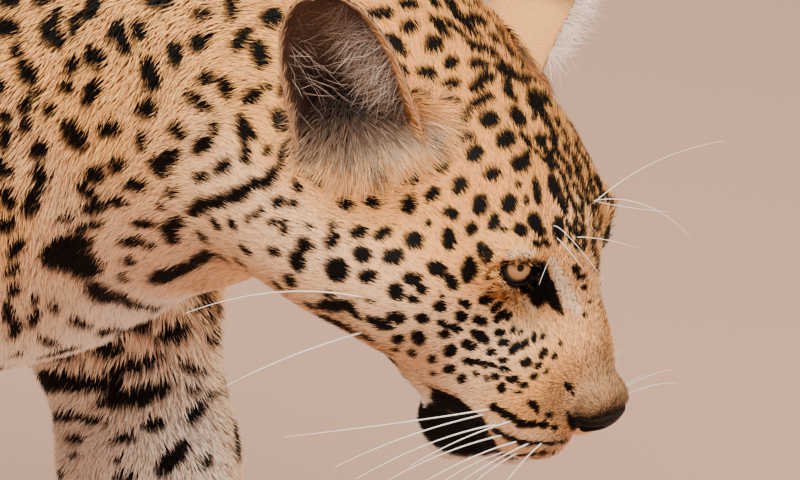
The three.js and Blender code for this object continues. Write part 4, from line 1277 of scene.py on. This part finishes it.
def lie_of(p, n, part, ear):
    h = to_head(p)
    away = h - HAIR_START
    away[:, 2] -= 0.35 * np.abs(away[:, 1])
    out = np.tile(TRUNK_LIE, (len(p), 1))
    out = layered(out, NECK_LIE, ramp(p[:, 0], 0.24, 0.34))
    out = layered(out, LEG_LIE, legness(p))
    out = layered(out, unit(away) @ HEAD_TURN.T, headness(h))
    in_ear, _, fan = by_ear(p, part)
    out = layered(out, fan, in_ear)
    _, tail_way = tail_place(p)
    out = layered(out, tail_way, ramp(p[:, 0], -0.46, -0.50) * (p[:, 2] < 0.60))
    for side in (-1, 1):
        across, _, up_ear = ear_frame(side) @ HEAD_TURN.T
        here = (part != BODY) & (np.sign(ear[:, 0]) == side)
        fan = np.where(part[here] == EAR_CUP, -0.5, -0.05) * ear[here, 2]
        out[here] = up_ear + fan[:, None] * across
    return unit(out - n * (out * n).sum(axis=1, keepdims=True))


def shown_leg(p):
    """How much a place lies on the part of the left foreleg that the photo shows."""
    return legness(p) * ramp(p[:, 0], 0.24, 0.28) * ramp(p[:, 2], 0.21, 0.25) * ramp(p[:, 1], -0.01, 0.01)


def coat_shape(p, part):
    """Length, width and depth of the tufts."""
    h = to_head(p)
    head, leg = headness(h), legness(p)
    back_of_face = ramp(h[:, 0], -0.04, -0.17)
    length = mix(0.0125, 0.0085, leg)
    length = mix(length, 0.0050, leg * ramp(p[:, 2], 0.08, 0.03))
    length = mix(length, mix(0.0034, 0.0064, back_of_face), head)
    width = mix(0.0022, 0.0015, leg)
    front = ramp(p[:, 0], 0.22, 0.32)
    width = mix(width, 0.0008, front)
    length = mix(length, mix(0.0085, 0.0065, leg), front * ramp(head, 1, 0))
    near_leg = shown_leg(p)
    width = mix(width, 0.0008, near_leg)
    length = mix(length, 0.0065, near_leg)
    width = mix(width, mix(0.00045, 0.0006, back_of_face), head)
    depth = coat_depth(p)
    in_ear, place, _ = by_ear(p, part)
    fringe = mix(0.020, 0.009, ramp(place[:, 0], 0.006, 0.028))
    length = mix(length, fringe, in_ear * ramp(place[:, 2], 0.014, 0.004))
    width = mix(width, 0.0006, in_ear)
    depth = mix(depth, 0.0062, in_ear)
    ear = part != BODY
    length[ear] = np.where(part[ear] == EAR_CUP, 0.0070, 0.0030)
    width[ear] = 0.00045
    depth[ear] = EAR_WALL * EAR_COAT_SHARE
    return length, width, depth


MOST_DENSE = 1.33e6  # tufts for each square metre, where the share below is 1


def density(p, part):
    """Tufts wanted for each square metre, most on the side of the head that the photo shows."""
    h = to_head(p)
    head = headness(h)
    face = head * ramp(h[:, 0], -0.16, -0.10)
    shown = ramp(p[:, 1], 0.012, -0.012)
    front = ramp(p[:, 0], 0.24, 0.34) * ramp(p[:, 2], 0.32, 0.40)
    out = mix(0.085, 0.13, legness(p))
    out = mix(out, 0.50, shown_leg(p))
    out = mix(out, mix(0.26, 0.62, shown), front)
    out = mix(out, mix(0.70, 1.35, shown), head)
    out = mix(out, mix(1.10, 1.90, shown), face)
    out[part != BODY] = 1.3
    out *= (part == EAR_CUP) * 0.3 + (part != EAR_CUP)
    return out * MOST_DENSE


# Tufts
TUFTS = 478000
PIECE_TUFTS = 66000
PATCH = 0.003  # of the OFBake map, for each tuft
SHOWN_ALONG = 0.62  # how far along a tuft the part of it lies that can be seen
TIP_SHARE = 0.55  # how much of the colour where it ends a tuft's tip takes


def bare(p, part):
    """Where no fur grows: on the nose's leather and on the very edges of the lids."""
    h = to_head(p)
    on_nose = nose_pad(h) < 0.0006
    return (on_nose | (past_lid(h) < -0.0003)) & (part == BODY)


class Roots:
    """Places on the skin where tufts grow, with what each tuft needs to know."""

    def __init__(self, count):
        tris = np.array([(f[0], f[i], f[i + 1]) for f in skin_faces for i in range(1, len(f) - 1)])
        a, b, c = (skin_points[tris[:, i]] for i in range(3))
        area = np.linalg.norm(np.cross(b - a, c - a), axis=1) / 2
        part = skin_part[tris].max(axis=1)
        wanted = np.cumsum(area * density((a + b + c) / 3, part))
        count = min(count, int(wanted[-1]))
        picked = np.searchsorted(wanted, (np.arange(count) + chance.random(count)) * wanted[-1] / count)
        picked = tris[np.minimum(picked, len(tris) - 1)]
        share = chance.random((count, 2))
        share = np.where(share.sum(axis=1, keepdims=True) > 1, 1 - share, share)
        share = np.column_stack([1 - share.sum(axis=1), share])

        def blend(values):
            return np.einsum("ij,ij...->i...", share, values[picked])

        self.p = blend(skin_points)
        self.n = unit(blend(skin_normals))
        self.part = skin_part[picked].max(axis=1)
        self.ear = blend(skin_ear)
        self.lie = lie_of(self.p, self.n, self.part, self.ear)
        self.length, self.width, self.depth = coat_shape(self.p, self.part)
        ahead = self.lie * self.length[:, None]
        self.colour = coat_colour(self.p + ahead * SHOWN_ALONG, self.n, self.part, self.ear)
        self.tip_colour = coat_colour(self.p + ahead, self.n, self.part, self.ear)
        self.fringe()
        self.fleck()
        vars(self).update(self.only(~bare(self.p, self.part)))

    def fringe(self):
        """Gives the fur in the ears' mouths its dark roots and pale tips."""
        share, place, _ = by_ear(self.p, self.part)
        paler = chance.beta(0.8, 1.1, len(share)) * ramp(place[:, 2], 0.016, 0.002)
        tip = layered(flood(EAR_BROWN, share), PALE_LINE, paler)
        self.tip_colour = layered(self.tip_colour, tip, share)

    def fleck(self):
        """Darker hairs here and there, most of them over the forehead and the nose."""
        h = to_head(self.p)
        x, y, z = h.T
        top = ramp(np.abs(y), 0.052, 0.030) * ramp(z, -0.020, -0.004) * ramp(x, -0.15, -0.12)
        often = mix(0.03, 0.17, top * headness(h)) * (self.part == BODY)
        dull = np.where(chance.random(len(h)) < often, chance.uniform(0.30, 0.65, len(h)), 1.0)[:, None]
        self.colour *= dull
        self.tip_colour *= dull

    def only(self, where):
        return {name: values[where] for name, values in vars(self).items()}


def unwrap(p, part, ear):
    """A place on the OFBake map for each point of the skin: its angle round the body and its way along it."""
    centre_x = [-0.48, -0.30, 0.20, 0.40, 0.52, 0.62, 0.70]
    centre_z = [0.55, 0.52, 0.50, 0.50, 0.52, 0.455, 0.395]
    angle = np.arctan2(p[:, 1], np.interp(p[:, 0], centre_x, centre_z) - p[:, 2]) / (2 * math.pi) + 0.5
    along = np.interp(p[:, 0], [-0.50, 0.33, 0.72], [0.36, 0.58, 0.99])
    u, v = 0.01 + 0.98 * angle, along
    leg = (p[:, 2] < 0.36) & (p[:, 0] > -0.56) & (p[:, 0] < 0.52) & (np.abs(p[:, 1]) > 0.02)
    fore = p[:, 0] > 0.06
    y = np.sign(p[:, 1]) * np.where(fore, FORELEG_Y, HINDLEG_Y)
    x = np.where(fore, np.where(y > 0, 0.37, 0.22), np.where(y > 0, -0.42, -0.33))
    round_leg = np.arctan2(p[:, 1] - y, p[:, 0] - x) / (2 * math.pi) + 0.5
    u = np.where(leg, 0.01 + 0.16 * (2 * fore + (y > 0) + 0.95 * round_leg), u)
    v = np.where(leg, 0.01 + 0.33 * np.clip(p[:, 2] / 0.36, 0, 1), v)
    share, _ = tail_place(p)
    tail = (p[:, 0] < TAIL_STARTS_X) & (share > TAIL_ROOT) & (part == BODY)
    around = np.arctan2(p[:, 1] - 0.03, tail_axis_height(p) - p[:, 2]) / (2 * math.pi) + 0.5
    u = np.where(tail, 0.68 + 0.30 * share, u)
    v = np.where(tail, 0.01 + 0.15 * around, v)
    on_ear = part != BODY
    u = np.where(on_ear, 0.68 + 0.15 * (part == EAR_CUP) + 0.14 * (ear[:, 2] + 1) / 2, u)
    v = np.where(on_ear, 0.18 + 0.09 * (ear[:, 0] > 0) + 0.08 * ear[:, 1], v)
    return np.stack([u, v], axis=1)


def quick_mesh(name, points, faces_of_size, colours, material):
    """An object from arrays: faces_of_size holds one array of faces for each number of corners."""
    mesh = bpy.data.meshes.new(name)
    mesh.vertices.add(len(points))
    mesh.vertices.foreach_set("co", (points + SHIFT).astype(np.float32).ravel())
    sizes = np.concatenate([np.full(len(faces), faces.shape[1]) for faces in faces_of_size])
    corners = np.concatenate([faces.ravel() for faces in faces_of_size])
    mesh.loops.add(len(corners))
    mesh.loops.foreach_set("vertex_index", corners.astype(np.int32))
    mesh.polygons.add(len(sizes))
    mesh.polygons.foreach_set("loop_start", (np.cumsum(sizes) - sizes).astype(np.int32))
    mesh.update(calc_edges=True)
    mesh.shade_smooth()
    paint_mesh(mesh, colours)
    mesh.materials.append(material)
    obj = bpy.data.objects.new(name, mesh)
    bpy.context.scene.collection.objects.link(obj)
    return obj, corners


def paint_mesh(mesh, colours):
    tint = mesh.color_attributes.new("tint", "FLOAT_COLOR", "POINT")
    rgba = np.ones((len(colours), 4), np.float32)
    rgba[:, :3] = np.clip(colours, 0, 1)
    tint.data.foreach_set("color", rgba.ravel())


# One tuft: pairs of points at the root and the middle, and one at the tip
TUFT_ALONG = np.array([-0.04, -0.04, 0.50, 0.50, 1.0])
TUFT_ACROSS = np.array([-0.42, 0.42, -0.5, 0.5, 0.0])
TUFT_RISE = np.array([-0.10, -0.10, 0.62, 0.62, 0.96])
# Painted shade in the depth of the coat: each tuft darker at its root and lighter towards its tip
TUFT_DEPTH_SHADE = np.array([0.74, 0.74, 0.98, 0.98, 1.16])
TUFT_LEAN = 0.30
TUFT_ROUND = 0.45
LOCK_SPREAD = 0.16


def tufts(name, root, material, curl=0.07):
    """A joined mesh of tufts that grow from the roots."""
    count = len(root["p"])
    p, n, lie = root["p"], root["n"], root["lie"]
    side = np.cross(n, lie)
    angle = chance.normal(0, LOCK_SPREAD, count) + 0.22 * ripple(p, 0.034)
    way = lie * np.cos(angle)[:, None] + side * np.sin(angle)[:, None]
    side = np.cross(n, way)
    roll = chance.normal(0, 0.30, count)
    flat = side * np.cos(roll)[:, None] + n * np.sin(roll)[:, None]
    length = root["length"] * chance.uniform(0.75, 1.25, count)
    rise = root["depth"] * chance.uniform(0.70, 1.04, count)
    bend = chance.normal(0, curl, count) * length
    points = p[:, None] + way[:, None] * (length[:, None] * TUFT_ALONG)[..., None]
    points += flat[:, None] * (root["width"][:, None] * TUFT_ACROSS)[..., None]
    points += side[:, None] * (bend[:, None] * TUFT_ALONG**2)[..., None]
    points += n[:, None] * (rise[:, None] * TUFT_RISE)[..., None]
    points[..., 2] = np.maximum(points[..., 2], 0.0004)
    normals = n[:, None] + side[:, None] * (TUFT_ACROSS * 2 * TUFT_ROUND)[:, None]
    normals = normals + way[:, None] * TUFT_LEAN * 0.3
    warmth = 1 + chance.normal(0, 0.035, (count, 1)) * (1.0, 0.2, -1.0)
    shade = chance.lognormal(-0.01, 0.13, (count, 1))
    toward_tip = ((TUFT_ALONG == 1) * TIP_SHARE)[:, None]
    colours = mix(root["colour"][:, None], root["tip_colour"][:, None], toward_tip)
    # random warmth and lightness for each tuft, and painted shade that darkens it towards its root
    colours = colours * (warmth * shade)[:, None] * TUFT_DEPTH_SHADE[:, None]
    first = np.arange(count)[:, None] * 5
    faces = [first + (1, 0, 2, 3), first + (3, 2, 4)]
    obj, corners = quick_mesh(name, points.reshape(-1, 3), faces, colours.reshape(-1, 3), material)
    mesh = obj.data
    mesh.normals_split_custom_set_from_vertices(unit(normals).reshape(-1, 3).tolist())
    spread = np.array([[-0.5, -0.5], [0.5, -0.5], [-0.5, 0.2], [0.5, 0.2], [0.0, 0.5]]) * PATCH
    uv = unwrap(p, root["part"], root["ear"])[:, None] + spread
    uv = uv.reshape(-1, 2)[corners].astype(np.float32)
    mesh.uv_layers.new(name="OFBake").data.foreach_set("uv", uv.ravel())
    return obj


def coat_regions(p, part):
    """The coat's pieces by name, each with the roots that belong to it."""
    h = to_head(p)
    head = headness(h) > 0.5
    face = head & (h[:, 0] > -0.125)
    sides = {"_right": p[:, 1] < 0, "_left": p[:, 1] >= 0}
    leg = (p[:, 2] < 0.38) & ~head & (np.abs(p[:, 0]) < 0.56)
    tail = (p[:, 0] < TAIL_STARTS_X) & ~leg
    front = ~head & ~leg & (p[:, 0] > 0.40)
    shoulder = ~head & ~leg & ~front & (p[:, 0] > 0.20)
    ear = part != BODY
    regions = {"ears": ear}
    for name, where in (("face", face), ("head", head & ~face), ("neck", front), ("shoulder", shoulder)):
        for side, here in sides.items():
            regions[name + side] = where & here
    regions["trunk"] = ~head & ~leg & ~front & ~shoulder & ~tail
    regions["forelegs"] = leg & (p[:, 0] > 0.06)
    regions["hindlegs"] = leg & (p[:, 0] <= 0.06)
    regions["tail"] = tail
    return {name: where & (ear == (name == "ears")) for name, where in regions.items()}


# Materials
LID_BLACK = tone(7, 5, 5)
WHISKER_WHITE = tone(246, 244, 240)


def add_node(tree, kind, **settings):
    node = tree.nodes.new(kind)
    for key, value in settings.items():
        if key in node.inputs:
            node.inputs[key].default_value = value
        else:
            setattr(node, key, value)
    return node


def make_look(name, texture, settings, limits, roughness, specular=0.5, wet=0.0, colour=None, relief=None):
    """A material whose colour, given or the mesh's own tint, a fine pattern makes lighter and darker.

    limits holds the least and the most of that, and relief the strength and depth of the pattern's bumps.
    """
    material = bpy.data.materials.new(name)
    material.use_nodes = True
    tree = material.node_tree
    link = tree.links.new
    shader = tree.nodes["Principled BSDF"]
    place = tree.nodes.new("ShaderNodeTexCoord")
    pattern = add_node(tree, "ShaderNodeTex" + texture, **settings)
    link(place.outputs["Object"], pattern.inputs["Vector"])
    if colour is None:
        base = add_node(tree, "ShaderNodeAttribute", attribute_name="tint")
    else:
        base = tree.nodes.new("ShaderNodeRGB")
        base.outputs["Color"].default_value = (*colour, 1)
    reach = {"From Min": 0.3, "From Max": 0.7, "To Min": limits[0], "To Max": limits[1]}
    spread = add_node(tree, "ShaderNodeMapRange", **reach)
    link(pattern.outputs[0], spread.inputs["Value"])
    scale = add_node(tree, "ShaderNodeVectorMath", operation="SCALE")
    link(base.outputs["Color"], scale.inputs[0])
    link(spread.outputs["Result"], scale.inputs["Scale"])
    link(scale.outputs["Vector"], shader.inputs["Base Color"])
    shader.inputs["Roughness"].default_value = roughness
    shader.inputs["Specular IOR Level"].default_value = specular
    shader.inputs["Coat Weight"].default_value = wet
    shader.inputs["Coat Roughness"].default_value = 0.03
    if relief:
        bump = add_node(tree, "ShaderNodeBump", Strength=relief[0], Distance=relief[1])
        link(pattern.outputs[0], bump.inputs["Height"])
        link(bump.outputs["Normal"], shader.inputs["Normal"])
    return material


def fine_noise(scale, detail):
    return "Noise", {"Scale": scale, "Detail": detail}


# Eyeballs, with a pupil, an iris with fibres, its dark edge and painted shade of the lid over its upper part,
# and the dark white of the eye
IRIS_RADIUS = 0.0068
PUPIL_RADIUS = 0.0019
IRIS_INNER = tone(172, 130, 84)
IRIS_OUTER = tone(150, 110, 68)
EYE_DARK = tone(22, 15, 12)
PUPIL_BLACK = tone(8, 7, 7)


def eyeball(side, material):
    rings, sectors = 90, 128
    t = (np.arange(rings) / (rings - 1)) ** 1.4 * math.pi
    turn = np.arange(sectors) / sectors * 2 * math.pi
    angle, turn = (grid.ravel() for grid in np.meshgrid(t[1:-1], turn, indexing="ij"))
    look = gaze * (1, side, 1)
    across = unit(np.cross(look, [0, 0, 1]))
    above = np.cross(across, look)
    ways = look * np.cos(angle)[:, None]
    ways = ways + (across * np.cos(turn)[:, None] + above * np.sin(turn)[:, None]) * np.sin(angle)[:, None]
    ways = np.concatenate([ways, [look, -look]])
    angle = np.append(angle, [0, math.pi])
    turn = np.append(turn, [0, 0])
    cornea = 1 + 0.020 * ramp(angle, 0.60, 0.20)
    points = from_head(EYE * (1, side, 1) + ways * (EYE_RADIUS - 0.0003) * cornea[:, None])
    flat = EYE_RADIUS * np.sin(angle) + (angle > math.pi / 2)
    fibres = 0.5 + 0.25 * np.sin(turn * 37 + 3 * np.sin(turn * 5))
    fibres = fibres + 0.25 * np.sin(turn * 61 + 2 * np.sin(turn * 7))
    iris = layered(flood(IRIS_INNER, flat), IRIS_OUTER, ramp(flat, 0.0030, IRIS_RADIUS))
    iris = iris * (0.78 + 0.42 * fibres)[:, None]
    iris = layered(iris, EYE_DARK, ramp(flat, IRIS_RADIUS - 0.0009, IRIS_RADIUS) * 0.85)
    # painted shade of the upper lid and brow: the iris darker over its upper part
    iris = layered(iris, EYE_DARK, ramp(flat * np.sin(turn), -0.001, 0.006) * 0.55)
    colours = layered(iris, EYE_DARK, ramp(flat, IRIS_RADIUS, IRIS_RADIUS + 0.0003))
    colours = layered(colours, PUPIL_BLACK, ramp(flat, PUPIL_RADIUS + 0.0002, PUPIL_RADIUS))
    faces = []
    for r in range(rings - 3):
        for c in range(sectors):
            a, b = r * sectors + c, r * sectors + (c + 1) % sectors
            faces.append([a, b, b + sectors, a + sectors])
    quads = np.array(faces)
    last = (rings - 3) * sectors
    count = (rings - 2) * sectors
    caps = [[count, (c + 1) % sectors, c] for c in range(sectors)]
    caps += [[count + 1, last + c, last + (c + 1) % sectors] for c in range(sectors)]
    caps = np.array(caps)
    a, b, c = (points[quads[len(quads) // 2, i]] for i in (0, 1, 2))
    if np.cross(b - a, c - a) @ (a - points.mean(axis=0)) < 0:
        quads, caps = quads[:, ::-1], caps[:, ::-1]
    name = "eyeball_left" if side > 0 else "eyeball_right"
    return quick_mesh(name, points, [quads, caps], colours, material)[0]


def tube(path, radii, sides=8, closed=False):
    """Points and faces of a round tube along a path."""
    path = np.asarray(path, float)
    ahead = np.roll(path, -1, axis=0) - np.roll(path, 1, axis=0) if closed else np.gradient(path, axis=0)
    ahead = unit(ahead)
    first = unit(np.cross(ahead, [0.31, 0.83, 0.46]))
    second = np.cross(ahead, first)
    turn = np.arange(sides) / sides * 2 * math.pi
    ring = first[:, None] * np.cos(turn)[:, None] + second[:, None] * np.sin(turn)[:, None]
    points = (path[:, None] + ring * np.asarray(radii)[:, None, None]).reshape(-1, 3)
    faces = []
    for r in range(len(path) - (0 if closed else 1)):
        for s in range(sides):
            a, b = r * sides + s, r * sides + (s + 1) % sides
            c, d = (a + sides) % len(points), (b + sides) % len(points)
            faces.append([a, b, d, c])
    return points, faces


def joined(parts):
    """Points and faces of several pieces as one."""
    points, faces, count = [], [], 0
    for new_points, new_faces in parts:
        points.append(new_points)
        faces += [[count + i for i in face] for face in new_faces]
        count += len(new_points)
    return np.concatenate(points), faces


LID_RIM = 0.0010


def lid_rim(side):
    """The moist black edge of both lids, round the opening."""
    a = OPENING_HALF_WIDTH * np.cos(np.linspace(0, math.pi, 33))
    upper = OPENING_ABOVE - UPPER_ARC + np.sqrt(UPPER_ARC**2 - a * a)
    lower = LOWER_ARC - OPENING_BELOW - np.sqrt(LOWER_ARC**2 - a * a)
    a, b = np.concatenate([a, -a[1:-1]]), np.concatenate([upper, lower[-2:0:-1]])
    out = np.sqrt((EYE_RADIUS + 0.0002) ** 2 - a * a - b * b)
    q = EYE + a[:, None] * eye_line + b[:, None] * eye_height + out[:, None] * opening
    return tube(from_head(q * (1, side, 1)), np.full(len(q), LID_RIM), 10, closed=True)


# Nose pad
NOSE_SUNK = 0.0008  # below the tips of the fur round it
LEATHER = tone(11, 7, 8)
NOSTRIL_SHADE = tone(6, 5, 5)


def nose_field(p):
    h = to_head(p)
    d = carve(body_field(p) + NOSE_SUNK, -nose_pad(h), 0.0016)
    d = carve(d, measure(NOSTRIL, folded(h)), 0.0015)
    return carve(d, measure(PHILTRUM, h), 0.0015)


def make_nose(material):
    middle = from_head(np.array([-0.001, 0, -0.002]))
    points, quads = grid_mesh(nose_field, middle - 0.026, middle + 0.026, NOSE_CELL)
    points = settle(nose_field, points, 2, 0.0002, 0.0008)
    h = to_head(points)
    upper_edge = ramp(nose_pad(h), -0.0016, 0.0004) * ramp(h[:, 2], -0.006, 0.000)
    colours = layered(flood(LEATHER, h), NOSE_DUSK, upper_edge * 0.35)
    # painted shade: the nostrils darker than the leather round them
    colours = layered(colours, NOSTRIL_SHADE, ramp(measure(NOSTRIL, folded(h)), 0.0025, 0))
    return quick_mesh("nose_leather", points, [np.array(quads)], colours, material)[0]


# Whiskers: the photo's pixels of root, bend and tip, and how far the tip stands out to the camera in metres
WHISKERS = [
    ((491, 409), (400, 424), (284, 437), 0.030),
    ((487, 414), (410, 430), (335, 467), 0.028),
    ((499, 424), (430, 436), (356, 479), 0.036),
    ((504, 435), (450, 446), (388, 480), 0.040),
    ((512, 421), (460, 436), (410, 466), 0.034),
    ((519, 441), (475, 452), (424, 482), 0.040),
    ((530, 443), (494, 458), (452, 488), 0.044),
    ((520, 452), (498, 462), (470, 486), 0.044),
    ((542, 443), (524, 458), (503, 486), 0.046),
    ((510, 450), (470, 462), (440, 484), 0.040),
    ((370, 299), (280, 278), (186, 313), 0.030),
    ((368, 331), (290, 352), (226, 386), 0.030),
    ((552, 227), (558, 218), (604, 280), 0.014),
    ((555, 236), (568, 248), (584, 270), 0.012),
    ((553, 253), (547, 262), (539, 285), 0.010),
    ((575, 237), (604, 237), (639, 248), 0.014),
]
FAR_WHISKERS = [
    ((556, 226), (650, 152), (724, 141), 0.0),
    ((552, 224), (645, 190), (690, 236), 0.0),
    ((548, 228), (625, 208), (668, 212), 0.0),
]
WHISKER_ROOT = 0.00050
WHISKER_TIP = 0.00014
BROW_HAIR = 0.55  # how thick the brow's hairs are beside the lip's
BROW_ENDS = 290  # the photo's row below which no whisker is the brow's


def facing_plane(pixel, through, out):
    """Where a pixel's ray meets the plane that faces the camera through a point, moved out towards it."""
    way = ray_towards([pixel])[0]
    return eye_point + way * ((through + back * out - eye_point) @ back) / (way @ back)


def whisker(root, bend, tip, thick=1.0):
    t = np.linspace(0, 1, 16)[:, None]
    path = root * (1 - t) ** 2 + bend * 2 * t * (1 - t) + tip * t * t
    return tube(path, thick * mix(WHISKER_ROOT, WHISKER_TIP, t[:, 0]), 5)


def all_whiskers():
    parts = []
    for root, bend, tip, out in WHISKERS:
        start = on_skin([root])[0]
        a = facing_plane(bend, start, out * 0.7)
        b = facing_plane(tip, start, out)
        parts.append(whisker(start, a, b, 1.0 if root[1] > BROW_ENDS else BROW_HAIR))
        if root[0] > 480 and root[1] > 400 or root[0] < 400:
            mirror = np.array([1, -1, 1])
            swing = chance.normal(0, 0.006, 3)
            parts.append(whisker(start * mirror, a * mirror + swing / 2, b * mirror + swing))
    for root, bend, tip, out in FAR_WHISKERS:
        start = on_skin([root])[0] * (1, -1, 1)
        bend, tip = (facing_plane(pixel, start, out) for pixel in (bend, tip))
        parts.append(whisker(start, bend, tip, BROW_HAIR))
    return joined(parts)


# Long pale hairs that grow in the ears and fan out over their front edge
EAR_HAIRS = 1700
FAR_FRINGE = 700  # white hairs that stand out past the left ear's front edge


def ear_hair_roots():
    count = EAR_HAIRS + FAR_FRINGE
    past_edge = np.arange(count) >= EAR_HAIRS
    side = np.where((chance.random(count) < 0.58) & ~past_edge, -1.0, 1.0)
    edge = np.where((chance.random(count) < 0.94) | past_edge, 1.0, -1.0) * side
    u = chance.normal(0.56, 0.20, count).clip(0.20, 0.93)
    v = edge * np.where(past_edge, 0.94, chance.uniform(0.25, 0.84, count))
    p = np.zeros((count, 3))
    lie = np.zeros((count, 3))
    n = np.zeros((count, 3))
    for s in (-1, 1):
        here = side == s
        across, out_of, up_ear = ear_frame(s) @ HEAD_TURN.T
        p[here] = ear_points(s, u[here], v[here], 1 - EAR_COAT_SHARE)
        inwards = np.where(past_edge[here], 0.9, -1)[:, None] * np.sign(v[here])[:, None] * across
        rise = chance.normal(-0.45, 0.65, here.sum())[:, None]
        spread = chance.uniform(0.05, 0.45, here.sum())[:, None]
        lie[here] = unit(inwards * 0.9 + out_of * spread + up_ear * rise)
        n[here] = unit(out_of + inwards * 0.2)
    n = unit(n - lie * (n * lie).sum(axis=1, keepdims=True))
    middle = ramp(np.abs(u - 0.55), 0.34, 0.12) * chance.beta(0.55, 1.3, count)
    pale = layered(np.tile(EAR_BROWN, (count, 1)), WHITE, np.where(past_edge, 0.9, middle))
    return {
        "p": p,
        "n": n,
        "lie": lie,
        "part": np.full(count, EAR_CUP),
        "ear": np.stack([side, u, v], axis=1),
        "colour": pale,
        "tip_colour": pale,
        "length": chance.uniform(0.010, 0.021, count),
        "width": np.full(count, 0.00024),
        "depth": np.full(count, 0.003),
    }


# Making everything
coat_look = make_look("coat", *fine_noise(900, 2), (0.90, 1.10), 0.62, 0.13)
# The skin takes the coat's tint darkened to between 0.70 and 0.98 of it: painted shade for the skin seen
# under and between the tufts.
skin_shaded_look = make_look("skin", *fine_noise(1400, 4), (0.70, 0.98), 0.75, 0.20, relief=(0.6, 0.0008))
skin.data.materials.append(skin_shaded_look)
paint_mesh(skin.data, coat_colour(skin_points, skin_normals, skin_part, skin_ear))
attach(skin, "root")
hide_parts(*[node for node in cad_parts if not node.startswith(("eye", "nose"))])

roots = Roots(TUFTS)
for region, where in coat_regions(roots.p, roots.part).items():
    held = np.flatnonzero(where)
    if len(held) > PIECE_TUFTS:
        held = chance.choice(held, PIECE_TUFTS, replace=False)
    piece = tufts("coat_" + region, roots.only(held), coat_look)
    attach(piece, "root")

hairs = tufts("coat_ear_hair", ear_hair_roots(), coat_look, 0.30)
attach(hairs, "root")

eye_look = make_look("eye_glass", *fine_noise(1500, 3), (0.85, 1.15), 0.25, 0.10, 0.45)
lid_look = make_look(
    "lid_skin", *fine_noise(1600, 3), (0.7, 1.4), 0.40, 0.08, colour=LID_BLACK, relief=(0.4, 0.0003)
)
for eye_side, node in ((-1, "eye_right"), (1, "eye_left")):
    ball = eyeball(eye_side, eye_look)
    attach(ball, "root")
    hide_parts(node)
rims = mesh_object("lid_rims", *joined([lid_rim(-1), lid_rim(1)]), [lid_look])
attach(rims, "root")
leather = make_look("nose_leather", "Voronoi", {"Scale": 1100}, (0.8, 1.25), 0.45, 0.07, relief=(0.5, 0.0006))
nose = make_nose(leather)
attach(nose, "root")
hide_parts("nose_pad")
whisker_look = make_look("whisker", *fine_noise(60, 1), (0.92, 1.0), 0.35, colour=WHISKER_WHITE)
whiskers = mesh_object("whiskers", *all_whiskers(), [whisker_look])
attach(whiskers, "root")


# Floor and light
FLOOR_TONE = tone(196, 158, 136)
LIGHT_AIM = (0.3, 0, 0.45)


def make_floor():
    bpy.ops.mesh.primitive_plane_add(size=24)
    floor = bpy.context.object
    floor.name = "floor"
    material = bpy.data.materials.new("floor_plaster")
    material.use_nodes = True
    shader = material.node_tree.nodes["Principled BSDF"]
    shader.inputs["Base Color"].default_value = (*FLOOR_TONE, 1)
    shader.inputs["Roughness"].default_value = 0.8
    floor.data.materials.append(material)


def area_light(name, place, size, power, colour=(1, 1, 1)):
    data = bpy.data.lights.new(name, "AREA")
    data.size = size
    data.energy = power
    data.color = colour
    light = bpy.data.objects.new(name, data)
    bpy.context.scene.collection.objects.link(light)
    light.location = place
    light.rotation_euler = (Vector(LIGHT_AIM) - Vector(place)).to_track_quat("-Z", "Y").to_euler()


def make_light():
    area_light("key", (0.8, -1.8, 3.0), 1.6, 214, (1.0, 0.90, 0.77))
    area_light("fill", (2.8, 0.8, 1.6), 2.4, 70, (1.0, 0.92, 0.82))
    area_light("back", (-2.2, 1.2, 2.4), 2.4, 50)
    world = bpy.data.worlds.new("room")
    world.use_nodes = True
    room = world.node_tree.nodes["Background"]
    room.inputs["Color"].default_value = (0.95, 0.86, 0.80, 1)
    room.inputs["Strength"].default_value = 0.38
    bpy.context.scene.world = world


make_floor()
make_light()
